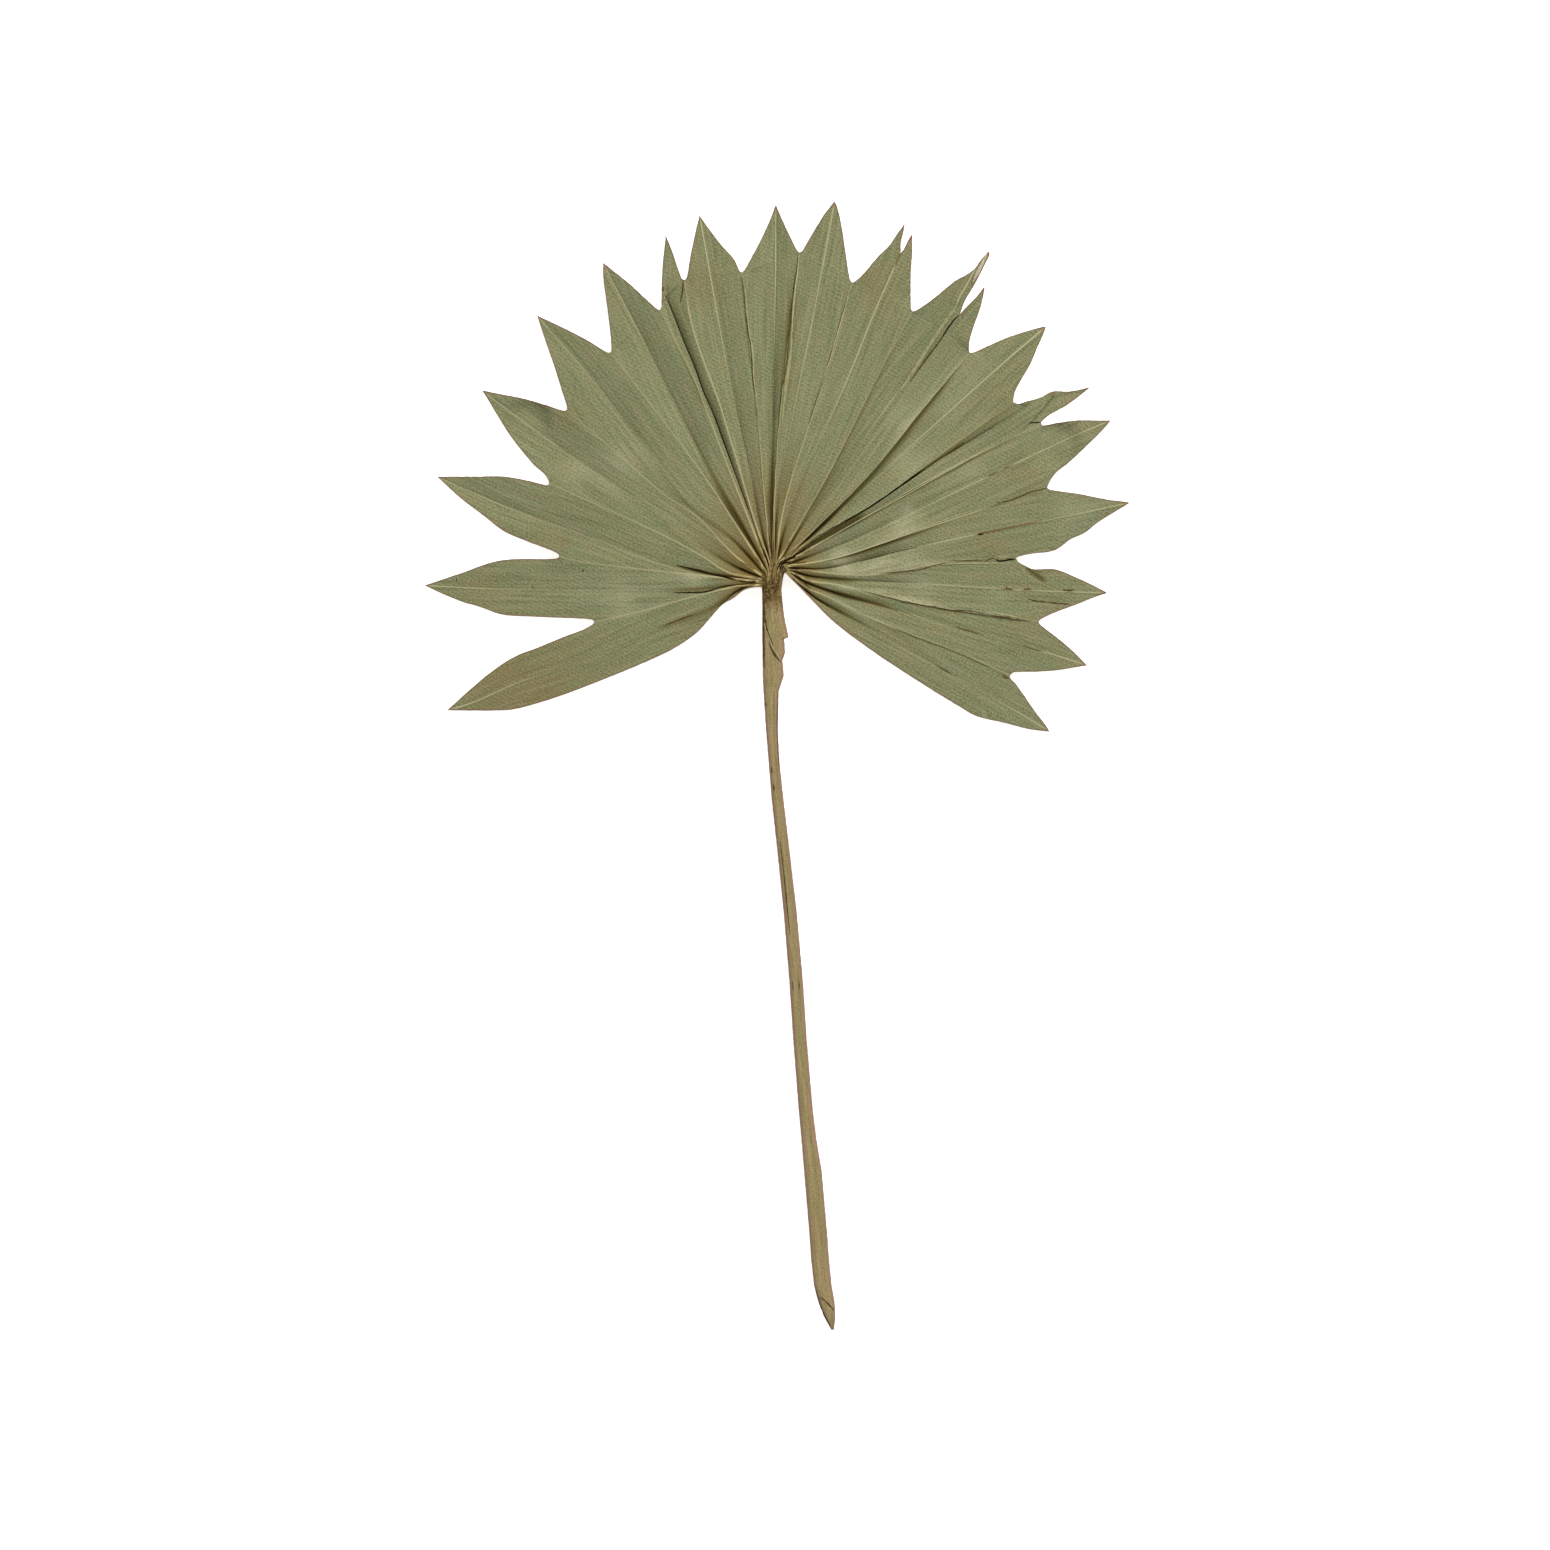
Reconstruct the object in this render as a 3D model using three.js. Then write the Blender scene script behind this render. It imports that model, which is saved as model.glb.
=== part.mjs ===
// A dried leaf of a fan palm, as cut from the plant, lying on a flat surface at z = 0.
// Millimetres, +Z up. The tips point towards +Y and the cut end of the stalk towards -Y.
// The origin is on the surface, under the middle of the leaf's outline.

import * as THREE from 'three';

// Blade: one thin sheet, folded like a fan round the head of the stalk.
const BLADE_THICKNESS = 1;
const PLEAT_DEPTH = 2.4; // from the sheet's middle height up to a ridge, or down to a valley
const PLEAT_GROWTH = 22; // distance from the hub in which the folds reach most of that depth
const TIP_FLATTENING = 6; // a high power keeps the folds deep until close to the tip
const STEEPEST_FLANK = 0.8; // height over width of a flank, which limits the depth of narrow folds
const FLANK_BULGE = 0.12; // a flank is slightly convex
const OUTER_EDGE_FOLD = 0.6; // how far a segment's own edges are raised, past its notches
const HUB_HEIGHT = 9.5; // height of the sheet's middle where it leaves the stalk
const DROOP = 7.8; // how much lower the tips lie
const TIP_LIFT_START = 0.55; // fraction of the way out from which a dry tip curls up
const EDGE_WAVE = 0.25;
const EDGE_WAVE_LENGTH = 11;
const CLEARANCE = 0.3; // what is not a low spot stays this far above the surface
const SPOT_RADIUS = 8.5;

// Hub: the round head of the stalk, with the pleats starting on an arc round it.
const HUB = { x: -2.4, y: 75.4 };
const HEAD_RADIUS = 4.4;
const HUB_GAP = 0.3;
const HUB_RADIUS = HEAD_RADIUS + HUB_GAP;
const FAN_START = 205; // degrees, lower left, at the first free edge
const FAN_MIDDLE = 90;
const FAN_END = -3; // at the last free edge
const SEGMENTS_LEFT_OF_MIDDLE = 9;

// Rows of points along each line: as fractions from the hub to the notch, then from the notch to the tip.
const INNER_ROWS = [0, 0.05, 0.11, 0.18, 0.27, 0.37, 0.48, 0.59, 0.7, 0.8, 0.9, 1];
const OUTER_ROWS = [0.12, 0.26, 0.42, 0.58, 0.74, 0.88, 1];
const CURVE_DIVISIONS = 400; // for the lengths along a curve

// The segments, clockwise from the lower left lobe. All points are [x, y].
// left: edge from the notch before the segment to its tip. right: edge from the notch after it to its tip.
// midrib: the valley, from the hub to the tip. suture: the ridge shared with the next segment, hub to notch.
// fold: 1 makes the middle line a ridge instead of a valley. lift: how far the tip curls up.
const SEGMENTS = [
  {
    left: [[-9, 71], [-13, 70], [-17, 67], [-22, 64], [-26.5, 59], [-32, 53], [-39, 48], [-46.5, 44],
      [-71.5, 33.5], [-90.5, 26.5], [-105, 22.5], [-111, 22]],
    midrib: [[-13, 71], [-26, 63.5], [-45, 56], [-85.5, 39], [-102.5, 33.5], [-122, 25]],
    right: [[-77, 54.5], [-85, 51.5], [-96, 47], [-105, 43.5], [-113.5, 38], [-122, 31]],
    tip: [-132, 22], lift: 1.2,
    suture: [[-15.5, 71.5], [-35, 67], [-54.5, 61.5]], notch: [-73, 57.5],
  },
  {
    left: [[-75.5, 58.5], [-87, 59], [-98, 59.5], [-107.5, 60], [-112.5, 61], [-119, 63.5], [-126, 65.5],
      [-134.5, 69]],
    midrib: [[-19.5, 71.5], [-48, 70], [-109, 70.5]],
    right: [[-110.5, 82], [-127.5, 76.5]],
    tip: [-141, 72], lift: 0.4,
    suture: [[-32, 76], [-50.5, 78], [-78.5, 81.5]], notch: [-87, 83.5],
  },
  {
    left: [[-101, 90], [-109, 93.5], [-117.5, 100], [-126, 106.5]],
    midrib: [[-31, 77], [-50.5, 82], [-71, 90], [-106, 102.5]],
    right: [[-98, 113.5], [-109, 115.5], [-120.5, 115.5]],
    tip: [-136, 115.5], lift: 1.4,
    suture: [[-20, 77.3], [-29, 83], [-41.5, 90], [-67, 102]], notch: [-91, 112.5],
  },
  {
    left: [[-92.5, 116], [-97, 120], [-100.5, 124], [-106, 131], [-111.5, 139.5], [-116, 147]],
    midrib: [[-17, 79.5], [-29.5, 87.5], [-42, 96.5], [-71, 116], [-106, 141]],
    right: [[-92, 144], [-100.5, 146.5], [-113, 149]],
    tip: [-118, 150], lift: 0,
    suture: [[-17, 84], [-32, 99.5], [-44.5, 108], [-67, 127.5]], notch: [-84, 142],
  },
  {
    left: [[-86.5, 151.5], [-89.5, 161], [-93, 171]],
    midrib: [[-16, 88.5], [-24, 95.5], [-34.5, 104], [-55.5, 131], [-76, 157]],
    right: [[-75, 169.5], [-83.5, 174]],
    tip: [-96, 180], lift: 1,
    suture: [[-11.5, 88.5], [-27, 112.5], [-41.5, 132.5]], notch: [-66.5, 165],
  },
  {
    left: [[-66.5, 172], [-68, 184], [-69.5, 195.5]],
    midrib: [[-13, 94], [-27, 118.5], [-39.5, 142.5], [-53.5, 170]],
    right: [[-53, 187], [-59.5, 193], [-64.5, 197]],
    tip: [-69.5, 201], lift: 2,
    suture: [[-9.6, 95], [-16.2, 113.5], [-26.5, 141], [-37, 169]], notch: [-46.5, 182],
  },
  {
    left: [[-46, 185.5], [-46, 193], [-45.5, 202]],
    midrib: [[-8.9, 95.3], [-15.3, 114.5], [-24.3, 142], [-35.5, 172]],
    right: [[-40, 200], [-42, 206]],
    tip: [-44.5, 212], lift: 0.6,
    suture: [[-8.2, 95.5], [-14.2, 115.5], [-22.5, 143], [-34, 176]], notch: [-37, 194],
  },
  {
    left: [[-34.5, 204], [-32.5, 213.5]],
    midrib: [[-6.5, 95.5], [-11.5, 121], [-21, 165], [-27, 198]],
    right: [[-17, 202], [-23, 209], [-29, 217]],
    tip: [-31, 220], lift: 1.6,
    suture: [[-4.5, 100.5], [-8, 141.5], [-11.5, 172.5]], notch: [-14, 197],
  },
  {
    left: [[-10.5, 202.5], [-7, 209], [-3.5, 216.5]],
    midrib: [[-2, 113.5], [-1, 169], [-0.5, 204.5]],
    right: [[5, 212], [2, 218.5]],
    tip: [-0.5, 224], lift: 0.8,
    suture: [[-1, 108], [1.5, 142.5], [6, 182]], notch: [9, 205],
  },
  {
    left: [[12, 209], [15, 214], [19, 220.5]],
    midrib: [[0, 103], [6.5, 140.5], [15, 182], [20.5, 212]],
    right: [[27.5, 204.5], [26, 214.5], [24, 223.5]],
    tip: [23, 225.5], lift: 1.2,
    suture: [[2.5, 102], [11.5, 132], [22, 162.5]], notch: [30, 193],
  },
  {
    left: [[35, 197], [40, 203], [45, 208], [48, 212.5]],
    midrib: [[3.5, 95.5], [11, 115.5], [28, 154], [40, 183.5]],
    right: [[53.5, 187], [53.5, 197], [54, 204], [54, 210]],
    tip: [51, 216.5], lift: 1.8,
    slit: { bottom: [49.5, 205], row: 4, left: [[49.5, 209], [50.5, 213]], right: [[50.5, 206], [52.5, 210]],
      tip: [54, 212] },
    suture: [[9, 96.5], [21, 117.5], [42, 159]], notch: [54, 181.5],
  },
  {
    left: [[60.5, 185], [65.5, 189], [71, 193.5], [75.5, 196], [79, 198.5], [81, 201.5]],
    midrib: [[9, 94], [22, 112], [47, 147.5]],
    right: [[77, 170], [79, 176.5], [81, 182], [82.5, 188]],
    tip: [84.5, 205.5], lift: 4,
    slit: { bottom: [73, 180], row: 2, left: [[75, 185.5], [78, 190.5], [80.5, 195], [83, 200], [85, 204.5]],
      right: [[76, 183.5], [79.5, 187], [82, 190]], tip: [83, 191] },
    suture: [[13.5, 93], [37, 116.5], [59.5, 144]], notch: [77, 165],
  },
  {
    left: [[84, 167.5], [92, 171], [99.5, 173.5], [105, 175]],
    midrib: [[13.5, 91.5], [31.5, 108], [61, 134.5], [89.5, 160]],
    right: [[97, 154.5], [101, 160.5], [104, 167], [106.5, 172.5]],
    tip: [107.5, 175.5], lift: 0.6,
    suture: [[13.5, 90], [39, 105], [70.5, 128]], notch: [94.5, 145],
  },
  {
    left: [[96.5, 144.5], [99.5, 145.5], [105, 147], [110, 149.5], [117, 149.5]],
    midrib: [[19, 92], [49, 110], [76.5, 129], [100, 143], [112, 147.5]], fold: 1,
    right: [[109.5, 140.5], [115, 143.5], [120, 147]],
    tip: [125, 151], lift: 1,
    suture: [[19, 90], [54.5, 110.5], [87, 127.5]], notch: [105.5, 136.5],
  },
  {
    left: [[112, 137], [120, 138], [127.5, 138]],
    midrib: [[24, 87.5], [61, 104.5], [94, 120], [117, 131]],
    right: [[111, 116.5], [116.5, 121], [125, 129], [131, 135]],
    tip: [133.5, 138], lift: 0,
    suture: [[24, 83], [44, 89.5], [72, 99], [93.5, 106]], notch: [108, 111],
  },
  {
    left: [[121, 108.5], [131, 106.5], [138.5, 105.5]],
    midrib: [[19, 78.5], [44, 84.5], [80.5, 92.5], [115, 99.5]],
    right: [[101, 84.5], [111, 86], [117.5, 90.5], [123, 93], [128, 97], [136, 102]],
    tip: [141, 105], lift: 1.6,
    suture: [[37, 76], [64.5, 80.5], [85, 83]], notch: [95.5, 82.5],
  },
  {
    left: [[100, 79.5], [102.5, 78.5], [111, 78.5], [120, 75], [125.5, 72.5]],
    midrib: [[13, 75.6], [61, 72.5], [100.5, 70]],
    right: [[109.5, 60.5], [120, 64.5], [127.5, 67.5]],
    tip: [132, 69], lift: 0.8,
    suture: [[13, 73.8], [25, 72], [57.5, 64.5], [86, 60]], notch: [104.5, 57.5],
  },
  {
    left: [[111.5, 51.5], [118, 46]],
    midrib: [[13.5, 72.3], [47.5, 62], [83, 52], [105, 46]],
    right: [[94, 37], [103.5, 37.5], [111.5, 38]],
    tip: [124, 40], lift: 1.8,
    suture: [[12, 71], [20, 67.5], [37, 59], [73, 45]], notch: [93, 36],
  },
  {
    left: [[95.5, 32.5], [100.5, 25.5], [104, 20.5], [107.5, 16]],
    midrib: [[15, 67], [37, 54.5], [70.5, 36], [98.5, 20]],
    right: [[11.5, 68.5], [22.5, 57.5], [37, 46.5], [57.5, 33], [73, 23.5], [79, 20], [91, 17], [101, 14.5]],
    tip: [109, 13.5], lift: 0.8,
  },
];

// The blade touches the surface at two small flat spots, in the valleys of the fourth segment from
// each side. With the flat underside of the stalk's end they stand round the leaf's weight.
const LOW_SPOTS = [[-100, 136.5], [112, 128.5]];

// Stalk: stations from the head to the cut end, as y, left edge, right edge, underside and thickness.
const STALK_STATIONS = [
  [72.8, -6.2, 1.7, 4.7, 5.5],
  [68.5, -5.9, 1.9, 4.6, 5.4],
  [59, -5.9, 3, 4.4, 5.3],
  [53.5, -5.9, 4.2, 4.2, 5.2],
  [51.2, -5.9, 4.7, 4.1, 5.1],
  [50.4, -5.9, 2.9, 4.1, 5.1],
  [45, -5.8, 3.3, 3.9, 5],
  [42, -5.8, 2.2, 3.8, 4.9],
  [36, -5.7, 2.8, 3.6, 4.7],
  [29.5, -5.4, 0.7, 3.4, 4.5],
  [14, -4.4, 0.4, 2.9, 4.1],
  [2, -3.4, 1, 2.5, 3.9],
  [-14, -2.1, 2.7, 2, 3.8],
  [-34, 0.1, 5.1, 1.4, 3.9],
  [-58, 2.6, 7.9, 0.9, 4],
  [-86, 4.9, 10.4, 0.4, 4],
  [-110, 6.5, 12, 0.1, 4],
  [-138, 8.7, 14.4, 0, 4.1],
  [-150, 9.8, 15.9, 0, 4.3],
  [-162, 10.8, 17.9, 0, 4.6],
  [-188, 13, 20.2, 0, 4.7],
  [-197, 13.6, 20.8, 0, 4.7],
  [-208, 14.8, 21.9, 0, 4.7],
  [-214.5, 16.8, 23.1, 0, 4.7],
  [-221, 19.2, 23.4, 0, 4.6],
  [-225.5, 21.6, 22.8, 0, 4.4],
];
const HEAD_STEPS = [88, 62, 40, 20, 0]; // degrees round the head, from its top to its widest place
const HEAD_UNDERSIDE = 4.8;
const HEAD_THICKNESS = 5.6;

// Cross-section of the stalk, from -1 to 1 across and 0 to 1 in height: a flat foot, round flanks and
// a shallow channel along the upper face.
const STALK_SECTION = [
  [-0.32, 0], [0.32, 0], [0.74, 0.13], [1, 0.48], [0.87, 0.82], [0.52, 0.98], [0.18, 0.93],
  [-0.14, 1], [-0.52, 0.96], [-0.88, 0.8], [-1, 0.46], [-0.74, 0.12],
];

const clamp01 = (v) => Math.min(1, Math.max(0, v));
const evenSteps = (count) => Array.from({ length: count }, (_, k) => (k + 1) / count);
const hubDistance = ([x, y]) => Math.hypot(x - HUB.x, y - HUB.y);

function smoothstep(v) {
  const t = clamp01(v);
  return t * t * (3 - 2 * t);
}

// A smooth curve through [x, y] points, read at fractions of its length.
function alongCurve(points, fractions) {
  const knots = points.map(([x, y]) => new THREE.Vector3(x, y, 0));
  const curve = new THREE.CatmullRomCurve3(knots, false, 'centripetal');
  curve.arcLengthDivisions = CURVE_DIVISIONS;
  return fractions.map((f) => {
    const p = curve.getPointAt(f);
    return [p.x, p.y];
  });
}

// Where line number `line` starts on the arc round the head: edge, midrib, suture, midrib ... edge.
function hubStart(line) {
  const middle = 2 * SEGMENTS_LEFT_OF_MIDDLE;
  const lastLine = 2 * SEGMENTS.length;
  const degrees = line < middle
    ? FAN_START + (FAN_MIDDLE - FAN_START) * line / middle
    : FAN_MIDDLE + (FAN_END - FAN_MIDDLE) * (line - middle) / (lastLine - middle);
  const angle = THREE.MathUtils.degToRad(degrees);
  return [HUB.x + HUB_RADIUS * Math.cos(angle), HUB.y + HUB_RADIUS * Math.sin(angle)];
}

// A point of the sheet's middle: its height without the fold, and how far the fold may raise or lower it.
// fold is 1 on a ridge, -1 in a valley and 0 between them.
function sheetPoint([x, y], reach, fold, lift) {
  const out = hubDistance([x, y]) - HUB_RADIUS;
  const u = clamp01(out / (reach - HUB_RADIUS));
  const depth = PLEAT_DEPTH * (1 - Math.exp(-out / PLEAT_GROWTH)) * (1 - u ** TIP_FLATTENING);
  const curl = lift * smoothstep((u - TIP_LIFT_START) / (1 - TIP_LIFT_START));
  const wave = EDGE_WAVE * u * Math.sin(2 * Math.PI * out / EDGE_WAVE_LENGTH);
  return { x, y, level: HUB_HEIGHT - DROOP * u + curl + wave, fold, depth };
}

// The sheet's middle surface: points, and triangles that face up.
function bladeSheet() {
  const points = [];
  const triangles = [];
  const rows = INNER_ROWS.length + OUTER_ROWS.length;
  const tipReach = SEGMENTS.map((s) => hubDistance(s.tip));

  function place(path, reach, fold, lift) {
    return path.map((p) => points.push(sheetPoint(p, reach, fold, lift)) - 1);
  }

  // A suture's own points, shared by the segments on both of its sides.
  const sutures = SEGMENTS.slice(0, -1).map((s, i) => {
    const path = alongCurve([hubStart(2 * i + 2), ...s.suture, s.notch], INNER_ROWS);
    const reach = (tipReach[i] + tipReach[i + 1]) / 2;
    return place(path, reach, 1, (s.lift + SEGMENTS[i + 1].lift) / 2);
  });

  // A free edge of the fan runs from the hub to the tip, with as many rows as an inner and an outer part.
  function freeEdge(line, edge, segment, reach) {
    const curve = [hubStart(line), ...edge, segment.tip];
    const split = INNER_ROWS.length / rows;
    const inner = INNER_ROWS.map((f) => f * split);
    const outer = OUTER_ROWS.slice(0, -1).map((f) => split + f * (1 - split));
    return place(alongCurve(curve, [...inner, ...outer]), reach, 1, segment.lift);
  }

  // The middle line up to the notches' level, then on to the tip or to the bottom of the slit.
  function middleLine(i, segment, reach) {
    const notches = [SEGMENTS[i - 1]?.notch, segment.notch].filter((n) => n).map(hubDistance);
    const level = notches.reduce((a, b) => a + b) / notches.length;
    const end = segment.slit ? segment.slit.bottom : segment.tip;
    const share = (level - HUB_RADIUS) / (hubDistance(end) - HUB_RADIUS);
    const outer = segment.slit ? evenSteps(segment.slit.row) : OUTER_ROWS.slice(0, -1);
    const fractions = [...INNER_ROWS.map((f) => f * share), ...outer.map((f) => share + (1 - share) * f)];
    const path = alongCurve([hubStart(2 * i + 1), ...segment.midrib, end], fractions);
    return place(path, reach, segment.fold ?? -1, segment.lift);
  }

  // The two sides of a slit are edges of their own, from its bottom to the two tips.
  function slitSide(slit, side, tip, reach, lift) {
    const fractions = evenSteps(OUTER_ROWS.length - slit.row).slice(0, -1);
    return place(alongCurve([slit.bottom, ...side, tip], fractions), reach, 0, lift);
  }

  // Distance between two lines at a row, square to the way that they run.
  function stripWidth(leftLine, rightLine, k) {
    const middleOf = (row) => {
      const [a, b] = [points[leftLine[row]], points[rightLine[row]]];
      return [(a.x + b.x) / 2, (a.y + b.y) / 2];
    };
    const [x0, y0] = middleOf(Math.max(k - 1, 0));
    const [x1, y1] = middleOf(Math.min(k + 1, rows - 1));
    const [a, b] = [points[leftLine[k]], points[rightLine[k]]];
    return Math.abs((b.x - a.x) * (y1 - y0) - (b.y - a.y) * (x1 - x0)) / Math.hypot(x1 - x0, y1 - y0);
  }

  // Half a segment: a strip between an outer line and the middle line, with one column between them.
  function fillHalf(leftLine, rightLine) {
    const between = leftLine.map((id, k) => {
      const a = points[id];
      const b = points[rightLine[k]];
      if (a === b) return id;
      const nextWidth = stripWidth(leftLine, rightLine, Math.min(k + 1, rows - 2));
      const room = STEEPEST_FLANK * Math.min(stripWidth(leftLine, rightLine, k), nextWidth) / 2;
      a.depth = Math.min(a.depth, room);
      b.depth = Math.min(b.depth, room);
      const point = { x: (a.x + b.x) / 2, y: (a.y + b.y) / 2, between: [a, b], bulge: 1 - k / rows };
      return points.push(point) - 1;
    });
    for (const [near, far] of [[leftLine, between], [between, rightLine]]) {
      for (let k = 0; k + 1 < rows; k++) {
        for (const t of [[near[k], far[k], far[k + 1]], [near[k], far[k + 1], near[k + 1]]]) {
          if (new Set(t).size === 3) triangles.push(t);
        }
      }
    }
  }

  SEGMENTS.forEach((segment, i) => {
    const reach = tipReach[i];
    const { lift, slit } = segment;
    const [tip] = place([segment.tip], reach, 0, lift);
    const outerEdge = (notch, edge, end) => place(
      alongCurve([notch, ...edge, end], OUTER_ROWS.slice(0, -1)), reach, OUTER_EDGE_FOLD, lift);
    const rightEnd = slit ? slit.tip : segment.tip;
    const rightTip = slit ? place([rightEnd], reach, 0, lift)[0] : tip;
    const leftLine = i === 0
      ? freeEdge(0, segment.left, segment, reach)
      : [...sutures[i - 1], ...outerEdge(SEGMENTS[i - 1].notch, segment.left, segment.tip)];
    const rightLine = i === SEGMENTS.length - 1
      ? freeEdge(2 * i + 2, segment.right, segment, reach)
      : [...sutures[i], ...outerEdge(segment.notch, segment.right, rightEnd)];
    const middle = middleLine(i, segment, reach);
    const sideOfSlit = (side, end) => (slit ? slitSide(slit, side, end, reach, lift) : []);
    fillHalf([...leftLine, tip], [...middle, ...sideOfSlit(slit?.left, segment.tip), tip]);
    fillHalf([...middle, ...sideOfSlit(slit?.right, rightEnd), rightTip], [...rightLine, rightTip]);
  });

  // Everything clears the surface, apart from the spots that the blade rests on.
  const resting = BLADE_THICKNESS / 2;
  const folded = (p) => p.level + p.fold * p.depth;
  const onFlank = ({ between: [a, b], bulge }) => (folded(a) + folded(b)) / 2 + FLANK_BULGE * bulge;
  const height = (p) => {
    if (LOW_SPOTS.some(([x, y]) => Math.hypot(p.x - x, p.y - y) < SPOT_RADIUS)) return resting;
    return Math.max(p.between ? onFlank(p) : folded(p), resting + CLEARANCE);
  };
  return { points: points.map((p) => [p.x, p.y, height(p)]), triangles };
}

// A closed solid from the sheet: the same triangles above and below it, and a wall along its edges.
function thicken({ points, triangles }, thickness) {
  const half = thickness / 2;
  const count = points.length;
  const vertices = [
    ...points.map(([x, y, z]) => [x, y, z + half]),
    ...points.map(([x, y, z]) => [x, y, z - half]),
  ];
  const faces = [];
  const edges = new Map();
  for (const [a, b, c] of triangles) {
    faces.push([a, b, c], [c + count, b + count, a + count]);
    for (const [from, to] of [[a, b], [b, c], [c, a]]) {
      if (!edges.delete(`${to},${from}`)) edges.set(`${from},${to}`, [from, to]);
    }
  }
  for (const [from, to] of edges.values()) {
    faces.push([from, from + count, to + count], [from, to + count, to]);
  }
  return solidGeometry(vertices, faces);
}

function solidGeometry(vertices, faces) {
  const geometry = new THREE.BufferGeometry();
  geometry.setAttribute('position', new THREE.Float32BufferAttribute(vertices.flat(), 3));
  geometry.setIndex(faces.flat());
  geometry.computeVertexNormals();
  return geometry;
}

// The stalk: rings of the section lofted from the head to the cut end and closed at both.
function stalkGeometry() {
  const head = HEAD_STEPS.map((degrees) => {
    const angle = THREE.MathUtils.degToRad(degrees);
    const halfWidth = HEAD_RADIUS * Math.cos(angle);
    const y = HUB.y + HEAD_RADIUS * Math.sin(angle);
    return [y, HUB.x - halfWidth, HUB.x + halfWidth, HEAD_UNDERSIDE, HEAD_THICKNESS];
  });
  const stations = [...head, ...STALK_STATIONS];
  const sides = STALK_SECTION.length;
  const vertices = stations.flatMap(([y, left, right, under, thickness]) => STALK_SECTION.map(
    ([across, up]) => [(left + right) / 2 + across * (right - left) / 2, y, under + up * thickness]));
  const faces = [];
  for (let ring = 0; ring + 1 < stations.length; ring++) {
    for (let side = 0; side < sides; side++) {
      const a = ring * sides + side;
      const b = ring * sides + (side + 1) % sides;
      faces.push([a, b, a + sides], [b, b + sides, a + sides]);
    }
  }
  const endRing = (stations.length - 1) * sides;
  for (let side = 1; side + 1 < sides; side++) {
    faces.push([0, side + 1, side]);
    faces.push([endRing, endRing + side, endRing + side + 1]);
  }
  return solidGeometry(vertices, faces);
}

const dryGreen = new THREE.MeshStandardMaterial({ color: '#8b8b66', roughness: 0.62, metalness: 0 });
const strawBrown = new THREE.MeshStandardMaterial({ color: '#9a8a5f', roughness: 0.6, metalness: 0 });

const blade = new THREE.Mesh(thicken(bladeSheet(), BLADE_THICKNESS), dryGreen);
blade.name = 'leaf_blade';

const stalk = new THREE.Mesh(stalkGeometry(), strawBrown);
stalk.name = 'leaf_stalk';

const leaf = new THREE.Group();
leaf.add(blade, stalk);

export default leaf;
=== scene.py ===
# %% [markdown]
# # A dried leaf of a fan palm
#
# The real thing is one leaf, cut from its plant and dried flat: a fan of 19 pleated segments and the stalk
# that carried it. It is thin, stiff and sage green, with a straw brown stalk. This lesson builds it over the
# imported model, which fixes its size and place, and gives it what only shows close up: sharp folds, pale
# midribs, cracks, fibres and the colours of a dry leaf.
#
# All lengths below are in millimetres, seen from above: +Y towards the tips, -Y towards the cut end of the
# stalk. They become metres only where a mesh is made.

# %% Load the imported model
import math

import bpy
import numpy as np
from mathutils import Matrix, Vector, noise
from mathutils.bvhtree import BVHTree


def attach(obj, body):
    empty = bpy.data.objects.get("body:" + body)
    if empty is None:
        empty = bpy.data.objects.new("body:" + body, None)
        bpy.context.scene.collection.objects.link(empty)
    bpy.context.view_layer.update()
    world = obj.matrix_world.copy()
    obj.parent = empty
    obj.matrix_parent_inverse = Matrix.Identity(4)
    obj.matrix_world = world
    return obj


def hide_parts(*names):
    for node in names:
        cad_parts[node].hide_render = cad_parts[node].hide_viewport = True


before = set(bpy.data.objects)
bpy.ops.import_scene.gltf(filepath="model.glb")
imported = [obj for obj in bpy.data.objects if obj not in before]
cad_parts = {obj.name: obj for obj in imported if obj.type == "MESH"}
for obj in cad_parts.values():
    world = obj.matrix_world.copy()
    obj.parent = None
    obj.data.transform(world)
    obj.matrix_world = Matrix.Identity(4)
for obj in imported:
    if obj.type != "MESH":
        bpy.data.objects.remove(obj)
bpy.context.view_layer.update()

MM = 0.001

# %% [markdown]
# ## The outline of the fan
#
# Each segment is drawn by its own lines, from the hub outwards: the left edge from the notch before it to
# its tip, the midrib, the right edge, and the suture, which is the ridge that it shares with the next
# segment. One outline for the whole fan would be shorter, but then the folds couldn't follow the veins.
#
# Some lists give what changes along a line, as pairs of the distance from the hub and a strength: rib is the
# pale line on the midrib, crack is a dark split in it, and ridge is how light (above 0) or dark (below 0)
# the suture's crest is. rib_aside gives in the same way how far the pale line lies beside the midrib. lift
# is how far the dry tip curls up. A slit parts a tip in two: it has its bottom, how far out that is between
# notch and tip, its two sides and the tip of the right half.

# %% Segments of the left side, from the lower left lobe
HUB = (-2.4, 75.4)  # where all the lines would meet
FAINT_RIB = [(0, 0), (95, 0.1), (118, 0.6), (140, 1)]
LONG_RIB = [(0, 0), (50, 0.1), (85, 0.7), (150, 1)]
CREST = [(0, 0.9), (25, 0.8), (60, 0.5), (100, 0.35)]

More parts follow.
